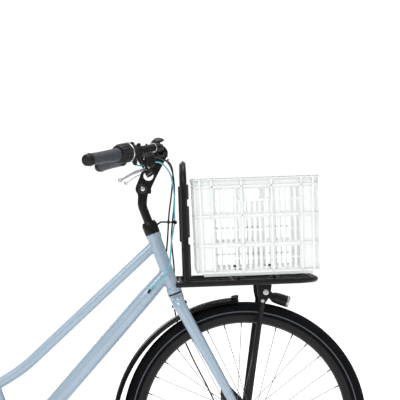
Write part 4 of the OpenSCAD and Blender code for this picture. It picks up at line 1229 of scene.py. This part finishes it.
def lever_blade(tag, F):
    """Flat blade that widens from the pivot and thins to a ball end."""
    route = fillet([F(lever(4.5, 0, 0)), F(lever(62, 1, 0)), F(lever(130, -6, 0))], 0.09, 10)
    path = [p.lerp(q, k / 6) for p, q in zip(route, route[1:]) for k in range(6)] + [route[-1]]

    def half_width(k):
        return 0.0036 + 0.0046 * min(1, max(0, (k - 0.05) / 0.16)) - 0.0024 * max(0, (k - 0.5) / 0.5)
    b = Build()
    b.tube(path, half_width, 28, rb=lambda k: 0.0038 - 0.0008 * k, up=F(LEVER_UP), dome=0.002)
    b.turn([(0, -4), (7, -4), (7, 4), (0, 4)], F(lever(0, 0, 0)), F(LEVER_UP), 36)
    b.blob(F(lever(130, -6, 0)), F(LEVER_ALONG) * 0.0066, F(LEVER_ACROSS) * 0.0066, F(LEVER_UP) * 0.0066, 2)
    name = "brake_lever_" + tag
    weld("lever_blade_" + tag, b, (0.9, 0.7), 3, SATIN, name, (name,),
         (bore(F(lever(0, 0, -12)), F(lever(0, 0, 12)), 0.0029),), sharp=45)


def stem():
    """The stem's CAD pieces refined, with its step, pivot caps, bolts and bar rings."""
    refine("stem_head", bevel=0.0016, seg=3)
    refine("quill_stem", bevel=0.0009)
    refine("headset_cover", BLACK_ALLOY, bevel=0.0007)
    refine("headset_cups", DARK, bevel=0.0005)
    step = Build().blob(V(299, 0, 1026), X * 0.0062, Y * 0.0125, Z * 0.0085, 4)
    step.done("stem_step", BLACK_ALLOY, BAR)
    caps, b = Build(), Build()
    for s in SIDES:
        caps.turn([(0, 0), (14.2, 0), (14.2, 0.5), (13.4, 0.9), (11.6, 0.9), (11.2, 0.4), (10.6, 0.4),
                   (10.0, 0.9), (5, 1.1), (0, 1.15)], V(281, 18.4 * s, 1032), Y * s, 48)
    caps.done("pivot_caps", DARK, BAR, sharp=30)
    for s in SIDES:
        b.bolt(V(350, 9 * s, 1127), unit(Vector((0.86, 0, -0.5))), 3.4, 3.6, 1.8)
    b.bolt(V(352.5, 0, 1114.2), unit(Vector((0.81, 0, -0.58))), 4.6, 3.4, 2.4)
    for s in SIDES:
        b.turn([(11.2, -0.7), (12.0, -0.7), (12.0, 0.7), (11.2, 0.7)], V(334, 17.4 * s, 1135), Y, 40,
               ring=True)
    b.turn([(11.3, -1.4), (12.8, -1.4), (13.2, -0.9), (13.2, 0.9), (12.8, 1.4), (11.3, 1.4)],
           flip(BAR_END) + flip(GRIP) * 0.266, flip(GRIP), 48, ring=True)
    for s in SIDES:
        b.turn([(0, 0), (6.2, 0), (6.2, 0.5), (5.6, 0.8), (0, 0.9)], V(281, 19.4 * s, 1032), Y * s, 36)
    b.done("stem_bolts", STEEL, BAR, sharp=32)


def bell(x, y, z):
    """Point in the bell's frame, whose z axis leans back 25 degrees; its origin is on the bar."""
    a = radians(-25)
    return V(331 + x * cos(a) + z * sin(a), -64 + y, 1141 - x * sin(a) + z * cos(a))


def bell_set():
    """Spun dome with its nut, the moulded base round the bar, and the thumb lever."""
    origin = bell(0, 0, 0)
    axis = unit(bell(0, 0, 1) - origin)
    foot = 20.6
    turns = [radians(q) for q in range(0, 67, 3)]
    dome = [(24.9 * sin(q), -9 + 25 * cos(q) + foot) for q in turns]
    dome = [(r, z) for r, z in dome if z >= foot]
    edge = dome[-1][0]
    rim = [(edge + 0.35, 20.9), (edge + 0.35, 20.1), (edge - 1.2, 20.1)]
    inner = [(max(0, r - 1.4), z - 1.5) for r, z in reversed(dome)]
    cap = Build()
    cap.turn([(0, dome[0][1])] + dome[1:] + rim + inner[:-1] + [(0, inner[-1][1])], origin, axis, 64)
    cap.turn([(0, 37.6), (3.2, 37.6), (3.6, 37.0), (3.6, 35.4), (0, 35.4)], bell(0, 0, -0.8), axis, 28)
    cap.done("bell_cap", BLACK_ALLOY, BAR, ("bell_dome",), sharp=35)
    base = Build()
    base.tube([bell(0, 0, 10), bell(0, 0, 33)], 0.0034)
    base.turn([(0, 8), (12.6, 8), (13, 8.6), (13, 13.8), (12.4, 14.5), (0, 14.5)], origin, axis, 40)
    base.blob(bell(0, 0, -3), bell(8, 0, 0) - origin, Y * 0.009, axis * 0.0125, 4)
    base.turn([(0, -9.2), (14.2, -9.2), (14.8, -8.4), (14.8, 8.4), (14.2, 9.2), (0, 9.2)],
              V(334, -64, 1139), Y, 40)
    weld("bell_base", base, (1.0, 1.0), 2, PLASTIC, BAR,
         cuts=(bore(V(334, -90, 1141.5), V(334, -40, 1135), 0.0110, 32),), sharp=45)
    thumb = Build()
    thumb.turn([(3.8, 15), (8, 15), (8, 19.4), (3.8, 19.4)], origin, axis, 32, ring=True)
    thumb.box((-0.030, -0.0036, 0.0152), (-0.006, 0.0036, 0.0186),
              lambda x, y, z: bell(x * 1000, y * 1000, z * 1000))
    thumb.turn([(0, 15), (6, 15), (6.6, 16), (6.6, 20.6), (5.4, 22), (0, 22.4)], bell(-31, 0, 0), axis, 32)
    thumb.blob(bell(-31, 0, 26), X * 0.0032, Y * 0.0056, Z * 0.0085, 3)
    thumb.done("bell_thumb", PLASTIC, "bell_lever", ("bell_lever",), bevel=0.0004)


bar_and_grips()
gear_control()
for tag, this_side in (("left", lambda p: p), ("right", flip)):
    lever_mount(tag, this_side)
    lever_blade(tag, this_side)
stem()
bell_set()

# ------------ cables
SHIFT_RADIUS, BRAKE_RADIUS = 0.00215, 0.0023
BAR_FORK = (BAR, FORK)
FORK_FRAME = (FORK, "frame")
CABLES = (
    # name, radius, material, replaced nodes, the two bodies and the two points to blend between, route
    ("shift_cable_bar", SHIFT_RADIUS, TEAL, ("bar_cables",),
     (*BAR_FORK, (0.345, -0.07, 1.09), (0.3716, -0.02, 0.99)),
     ((262.5, -171, 1101), (272, -164, 1094), (298, -146, 1101), (323, -112, 1106), (342, -82, 1097),
      (359.3, -50, 1073.3), (367.5, -30, 1040.9), (371.6, -22, 1008.6), (371.5, -20, 968),
      (372.6, -20, 937))),
    ("shift_cable_mid", SHIFT_RADIUS, TEAL, ("fork_cables",),
     (*FORK_FRAME, (0.363, -0.028, 0.88), (0.31, -0.028, 0.752)),
     ((372.6, -20, 937), (369, -22.5, 915), (363, -28, 880), (360.5, -31, 845), (357, -31.5, 812),
      (343, -31, 781), (322, -29.5, 762), (307, -27.6, 750), (299.5, -25.5, 739), (296.3, -24.4, 733))),
    ("front_brake_cable", BRAKE_RADIUS, CABLE, (), (*BAR_FORK, (0.355, 0.06, 1.105), (0.371, 0.02, 1.0)),
     ((302, 148, 1112), (318, 124, 1122), (345, 84, 1118), (364, 46, 1090), (371, 24, 1050), (372, 16, 1008.7),
      (370, 17, 970), (366, 22, 930), (364, 30, 880), (372, 42, 790), (369, 58, 722), (382, 65, 640),
      (424, 66.5, 540), (470, 65, 450), (500, 59, 386), (514, 56, 361))),
    ("rear_brake_cable_bar", BRAKE_RADIUS, CABLE, (), (*BAR_FORK, (0.35, -0.055, 1.108), (0.362, 0.01, 1.0)),
     ((302, -148, 1112), (318, -122, 1120), (343, -64, 1112), (359.4, -40, 1102.9), (367, -14, 1078),
      (366, 2, 1045), (362, 10, 1005), (357, 14, 965), (355, 15, 937))),
    ("rear_brake_cable_mid", BRAKE_RADIUS, CABLE, (), (*FORK_FRAME, (0.353, 0.019, 0.9), (0.3, 0.027, 0.752)),
     ((355, 15, 937), (353, 19, 900), (350, 24, 860), (344, 27, 818), (328, 28.5, 784), (312, 28, 764),
      (301, 27.2, 753), (292, 27.5, 738))),
    ("rear_brake_cable", BRAKE_RADIUS, CABLE, ("frame_cables",), None,
     ((292, 27.5, 738), (226, 28, 658), (150, 28.5, 565), (66, 29, 463), (-21, 29, 359), (-52, 30.5, 334),
      (-81, 32, 324.5), (-140, 39, 324), (-205, 45, 327), (-300, 52, 340), (-404, 60, 355), (-460, 60, 372),
      (-514, 57, 389))),
)
FERRULES = (
    # name, body, then the place, direction and radius (mm) of each
    ("cable_ferrules", FORK,
     (((372.6, -20, 936), (0.2, 0.05, -1), 3.3), ((355, 15, 936), (0, 0, -1), 3.2))),
    ("frame_cable_stop", "frame", (((299.5, -25.5, 739), (-0.55, 0.2, -1), 3.6),)),
    ("shifter_ferrule", BAR, (((262.5, -171, 1101), (0.35, 0.45, -0.85), 3.9),)),
)


def cables():
    """Housings: each bends between two bodies, apart from the one clipped along the frame."""
    for name, radius, mat, replaces, blend, route in CABLES:
        b = Build().tube(smooth_path([V(*p) for p in route], 10), radius, 16)
        o = b.done(name, mat, None if blend else "frame", replaces)
        if blend:
            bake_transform(o, *blend)
    for name, body, places in FERRULES:
        b = Build()
        for p, d, r in places:
            b.turn([(2.3, -6), (r - 0.6, -6), (r, -5), (r, 4), (r - 0.8, 6), (2.3, 6)], V(*p), Vector(d), 24,
                   ring=True)
        b.done(name, PLASTIC, body, sharp=32)


cables()

# ------------ brakes and drive
def round_screws(name, body, centre, y, radius, first, screw):
    """Six cap screws on a drum's left face; centre is (x, z), sizes in millimetres."""
    b = Build()
    for k in range(6):
        a = radians(first + 60 * k)
        b.bolt(V(centre[0] + radius * cos(a), y, centre[1] + radius * sin(a)), Y, *screw)
    b.done(name, STEEL, body, sharp=32)


def drive():
    for n in ("front_spokes", "rear_spokes"):
        refine(n, SPOKE, bevel=0.0, sharp=50)
    for n in ("front_brake", "rear_brake", "front_axle", "rear_axle", "seat_clamp", "seatpost"):
        refine(n, bevel=0.0007)
    refine("chain_guard", bevel=0.0008)
    refine("chain", bevel=0.0, sharp=40)
    refine("crankset", bevel=0.0022, seg=3)
    refine("saddle_rails", bevel=0.0008, sharp=50)
    round_screws("front_drum_screws", FORK, FRONT_AXLE, 38, 31, 30, (3.0, 2.2, 1.6))
    round_screws("rear_drum_screws", "frame", REAR_AXLE, 45, 34, 0, (3.4, 2.4, 1.8))
    caps, screws = Build(), Build()
    for s in SIDES:
        caps.turn([(0, 0), (13.5, 0), (13.5, 1.2), (12, 2.6), (4.2, 3.0), (3.8, 2.4), (0, 2.4)],
                  V(-80.7, 86 * s, 290), Y * s, 40)
    caps.done("crank_caps", PLASTIC, "crankset", sharp=32)
    for x, z in ((-130, 381), (-395, 352), (-250, 372)):
        screws.bolt(V(x, -54.4, z), -Y, 5.0, 2.6, 2.4)
    screws.done("guard_screws", STEEL, "frame", sharp=32)


PEDAL_Z, PEDAL_Y = 290, 137


def pedal(tag, s, x):
    """Block pedal on side s at x (mm): cage, grip studs, reflectors and end cap."""
    body = "pedal_" + tag
    cage, studs, reflectors = Build(), Build(), Build()
    for k in (-1, 1):
        cage.blob(V(x + k * 37.5, s * PEDAL_Y, PEDAL_Z), X * 0.0068, Y * 0.0425, Z * 0.0118, 7, 32, 10)
        cage.blob(V(x, s * (PEDAL_Y + k * 37), PEDAL_Z), X * 0.0445, Y * 0.0058, Z * 0.0096, 7, 32, 10)
        reflectors.blob(V(x + k * 44.2, s * PEDAL_Y, PEDAL_Z), X * 0.0016, Y * 0.022, Z * 0.0066, 8, 28, 8)
        for z in (-11.4, 11.4):
            for i in range(9):
                place = V(x + k * 37.5, s * (103 + 8.5 * i), PEDAL_Z + z)
                studs.blob(place, X * 0.0052, Y * 0.0027, Z * 0.0016, 6, 16, 6)
    cage.tube([V(x, s * 94.5, PEDAL_Z), V(x, s * 179.5, PEDAL_Z)], 0.0108, 32)
    weld("pedal_cage_" + tag, cage, (1.6, 1.2), 3, PLASTIC, body, (body,),
         (bore(V(x, s * 80, PEDAL_Z), V(x, s * 177.5, PEDAL_Z), 0.0048),), sharp=45)
    studs.done("pedal_tread_" + tag, STRIP, body)
    reflectors.done("pedal_reflex_" + tag, AMBER, body)
    end = Build().turn([(0, 0), (8.4, 0), (9.6, 0.8), (9.6, 1.4), (7.6, 2.6), (0, 2.8)],
                       V(x, s * 178.4, PEDAL_Z), Y * s, 36)
    end.done("pedal_end_" + tag, PLASTIC, body, sharp=32)


def centre_stand():
    """Two legs on a cross tube, and ringed rubber feet."""
    legs, feet = Build(), Build()
    legs.tube([V(-178, -56.5, 255), V(-178, 56.5, 255)], 0.0079, 32)
    for s in SIDES:
        legs.blob(V(-178, 57 * s, 255), X * 0.0086, Y * 0.0086, Z * 0.0086, 2)
        legs.tube(fillet([V(-178, 56.4 * s, 255), V(-141, 57.6 * s, 112), V(-114, 126 * s, 9)], 0.06, 12),
                  0.0070, 28)
        foot = V(-113, 128 * s, 0)
        feet.turn([(0, 0.2), (11.6, 0.2), (12.6, 1.2), (13, 3), (12.2, 8), (10.4, 16), (9.2, 19), (7.3, 20.4),
                   (0, 20.4)], foot, Z, 40)
        for k in range(3):
            z = 4 + 4 * k
            out = 13.0 - 0.8 * k
            feet.turn([(12.0 - k, z), (out, z + 0.4), (out, z + 1.4), (12.0 - k, z + 1.8)], foot, Z, 40)
    weld("stand_legs", legs, (1.7, 1.3), 3, BLACK, "centre_stand", ("centre_stand",), sharp=45)
    feet.done("stand_feet", STRIP, "centre_stand", sharp=40)


drive()
pedal("left", 1, -250.7)
pedal("right", -1, 89.3)
centre_stand()

# ------------ rear rack, tail lamp and stays
RACK_Z, RACK_Y = 768, 62


def rear_rack():
    b = Build()
    y, z = RACK_Y, RACK_Z
    outline = [V(-330, y, z), V(-770, y, z), V(-770, -y, z), V(-330, -y, z)]
    b.tube(fillet(outline, 0.035, 12), 0.005, up=Z, dome=0.003)
    for x in (-332, -450, -560, -670):
        b.tube([V(x, -y, z), V(x, y, z)], 0.004, 18)
    for s in SIDES:
        b.tube([V(-600, y * s, z), V(-566, 80 * s, 375)], 0.005, 22)
        b.tube([V(-730, y * s, z), V(-594, 77.5 * s, 419)], 0.004, 18)
        b.tube([V(-566, 72 * s, 375), V(-566, 86 * s, 375)], 0.006)
        b.tube([V(-332, 40 * s, z), V(-264, 41 * s, 637)], 0.004, 18)
    weld("rack_skin", b, (1.6, 1.2), 3, BLACK, "frame", ("rear_carrier",), sharp=45)


def tail_lamp():
    half = [(0.034, 0.738), (0.034, 0.768), (0.030, 0.772)]
    outline = [(-0.034, 0.738)] + half + [(-0.030, 0.772), (-0.034, 0.768)]
    plate = Build().prism(outline, lambda x, y, z: Vector((z, x, y)), -0.7775, -0.7750)
    plate.done("lamp_plate", BLACK, "frame", bevel=0.0006)
    case = Build().blob(V(-786, 0, 756), X * 0.0082, Y * 0.040, Z * 0.0165, 5, 40, 14)
    case.done("tail_lamp_case", PLASTIC, "frame")
    glass = Build().blob(V(-793, 0, 756), X * 0.0040, Y * 0.0365, Z * 0.0132, 5, 40, 12)
    glass.done("tail_lamp_lens", RED, "frame")


def rack_straps():
    """Three rubber bands along the rack, with a hooked bar at each end."""
    b = Build()
    for y in (-14, 0, 14):
        path = [V(-690, y, 775.5), V(-560, y * 0.9, 773.4), V(-450, y * 0.9, 773.4), V(-345, y * 0.8, 775.0)]
        b.tube(smooth_path(path, 8), 0.0030, 14, rb=0.0018, up=Y)
    for x in (-0.694, -0.342):
        b.box((x - 0.005, -0.019, 0.7712), (x + 0.005, 0.019, 0.7772))
        b.box((x - 0.005, -0.017, 0.7600), (x - 0.0035, 0.017, 0.7740))
    b.done("rack_straps", STRIP, "frame", bevel=0.0006)


def rear_guard_stays():
    """Wire stays with their screw bosses, the two struts to the frame, and the reflector."""
    def round_tyre(r, angle, y=0):
        q = radians(angle)
        return V(-554 + r * cos(q), y, 353 + r * sin(q))

    def boss(centre, chamfer, near, far):
        y0, y1 = sorted((near, far))
        r = 5 - chamfer
        b.turn([(0, y0), (r, y0), (5, y0 + 0.8), (5, y1 - 0.8), (r, y1), (0, y1)], centre, Y, 28)

    b = Build()
    for s in SIDES:
        for angle in (158, 192):
            b.tube([V(-560, 76 * s, 359), round_tyre(361, angle, 28 * s)], 0.0023, 14)
            boss(round_tyre(362, angle), 0.8, 25 * s, 32 * s)
        boss(V(-560, 0, 359), 0.6, 72.8 * s, 79 * s)
    b.tube([V(-276, 0, 612), round_tyre(373, 43)], 0.004, 18)
    b.tube([V(-181, 0, 341), V(-168, 0, 306)], 0.004, 18)
    b.done("guard_stay_wires", BLACK, "frame", ("rear_mudguard_stays",), sharp=40)
    reflex = Build().blob(round_tyre(377.5, 176), X * 0.0030, Y * 0.0155, Z * 0.024, 5, 36, 10)
    reflex.done("guard_reflector", RED, "frame")


rear_rack()
tail_lamp()
rack_straps()
rear_guard_stays()

# ------------ saddle
# each section of the cover in millimetres: x, half width, top, bottom
SADDLE_SECTIONS = (
    (-417, 30, 944, 928), (-411, 60, 952, 922), (-400, 78, 957, 920), (-384, 84, 959.5, 919),
    (-364, 79, 959, 919), (-342, 63, 957, 920), (-314, 44, 953.5, 921), (-284, 32, 951, 921),
    (-252, 25.5, 949.5, 921), (-222, 21, 947.5, 921), (-200, 15.5, 944, 923), (-188, 8, 938, 928))
# outline of the pan in millimetres, from the back along the left side to the nose
SADDLE_EDGE = ((-421, 0), (-418, 36), (-408, 68), (-394, 84), (-378, 87), (-358, 81), (-336, 62), (-306, 43),
               (-272, 31), (-240, 26), (-208, 20), (-190, 12), (-183, 0))
CLOTH = {"quality": 5, "mass": 0.3, "tension_stiffness": 15, "compression_stiffness": 15,
         "bending_stiffness": 1.0, "use_pressure": True, "uniform_pressure_force": 4}
CLOTH_FRAMES = 20
PUFF_LIMIT = 0.005
CHANNEL_MIDDLE, CHANNEL_HALF_LENGTH, CHANNEL_WIDTH, CHANNEL_DEPTH = -0.30, 0.085, 0.008, 0.0050
CHANNEL_ABOVE = 0.93


def cover_form():
    """The cover's soft block, round in section with a flattened underside."""
    rows = []
    for x, w, top, bottom in SADDLE_SECTIONS:
        row = []
        middle = (top + bottom) / 2 - 4
        for j in range(36):
            cy, cz = cos(2 * pi * j / 36), sin(2 * pi * j / 36)
            y = w * math.copysign(abs(cy) ** 0.72, cy)
            z = (top - middle) * abs(cz) ** 0.8 if cz > 0 else -(middle - bottom) * abs(cz) ** 0.6
            row.append(V(x, y, middle + z))
        rows.append(row)
    b = Build()
    b.solid(rows)
    me = b.mesh("saddle_raw")
    face_outward(me)
    o = add_object("saddle_cover", me)
    rounded = o.modifiers.new("Round", "SUBSURF")
    rounded.levels = 2
    even = o.modifiers.new("Remesh", "REMESH")
    even.mode = "VOXEL"
    even.voxel_size = 0.0045
    apply_modifiers(o)
    return o


def puff(o):
    """Fills the cover with a little air as cloth, and keeps each point near where it was."""
    start = [v.co.copy() for v in o.data.vertices]
    cloth = o.modifiers.new("Cloth", "CLOTH")
    for key, value in CLOTH.items():
        setattr(cloth.settings, key, value)
    cloth.settings.effector_weights.gravity = 0
    cloth.point_cache.frame_start = 1
    cloth.point_cache.frame_end = CLOTH_FRAMES
    for f in range(1, CLOTH_FRAMES + 1):
        scene.frame_set(f)
    deps = bpy.context.evaluated_depsgraph_get()
    moved = [v.co.copy() for v in o.evaluated_get(deps).to_mesh().vertices]
    o.evaluated_get(deps).to_mesh_clear()
    o.modifiers.clear()
    scene.frame_set(1)
    for v, a, p in zip(o.data.vertices, start, moved):
        d = p - a
        if d.length > PUFF_LIMIT:
            d = d * (PUFF_LIMIT / d.length)
        v.co = a + d


def saddle_cover():
    o = cover_form()
    puff(o)
    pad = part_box("saddle_pad")
    for v in o.data.vertices:
        p = v.co
        # relief channel down the middle, and a flat underside on the pan
        reach = abs((p.x - CHANNEL_MIDDLE) / CHANNEL_HALF_LENGTH)
        if p.z > CHANNEL_ABOVE and reach < 1:
            p.z -= CHANNEL_DEPTH * (1 - reach) ** 0.5 * math.exp(-(p.y / CHANNEL_WIDTH) ** 2)
        p.z = max(p.z, pad[0][2] + 0.0035)
        p.z = min(p.z, pad[1][2] + 0.001)
    fine = o.modifiers.new("Fine", "SUBSURF")
    fine.levels = fine.render_levels = 1
    apply_modifiers(o)
    shade(o.data, 180)
    o.data.materials.clear()
    o.data.materials.append(SADDLE.m)
    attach(o, "saddle_assembly")
    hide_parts("saddle_pad")


def saddle_underside():
    """Pan, piping along its edge, and the clamp's bolts."""
    ring = [V(x, y, 0) for x, y in SADDLE_EDGE] + [V(x, -y, 0) for x, y in reversed(SADDLE_EDGE[1:-1])]

    def level(k, z):
        line = smooth_path(ring + [ring[0]], 5)[:-1]
        return [Vector((-0.3 + (p.x + 0.3) * k, p.y * k, z)) for p in line]
    pan = Build()
    pan.solid([level(0.93, 0.9160), level(0.985, 0.9150), level(0.985, 0.9200), level(0.96, 0.9240)])
    pan.done("saddle_pan", PLASTIC, "saddle_assembly", sharp=40)
    pipe = Build().tube(level(0.990, 0.9225), 0.0017, 10, up=Z, closed=True)
    pipe.done("saddle_piping", STRIP, "saddle_assembly")
    bolts = Build()
    for s in SIDES:
        bolts.washer_bolt(V(-306, 40 * s, 897), Y * s, 4.6)
    bolts.done("saddle_bolts", STEEL, "saddle_assembly", sharp=32)


def seat_bolt():
    b = Build()
    ears = on_seat(474.5, -25)
    b.bolt(ears + V(0, -8, 0), -Y, 4.4, 3.6, 2.2)
    b.hexnut(ears + V(0, 8, 0), Y, 5.0, 4.0)
    b.done("seat_bolt", STEEL, "frame", sharp=32)


saddle_cover()
saddle_underside()
seat_bolt()

# ------------ floor and closing
FLOOR_RADIUS, FLOOR_Z = 9.0, -0.0006
ground = Build().lathe([(0.0001, FLOOR_Z), (FLOOR_RADIUS, FLOOR_Z)], Vector((0, 0, 0)), Z, 96).mesh("floor")
ground.materials.append(studio_floor().m)
add_object("floor", ground)
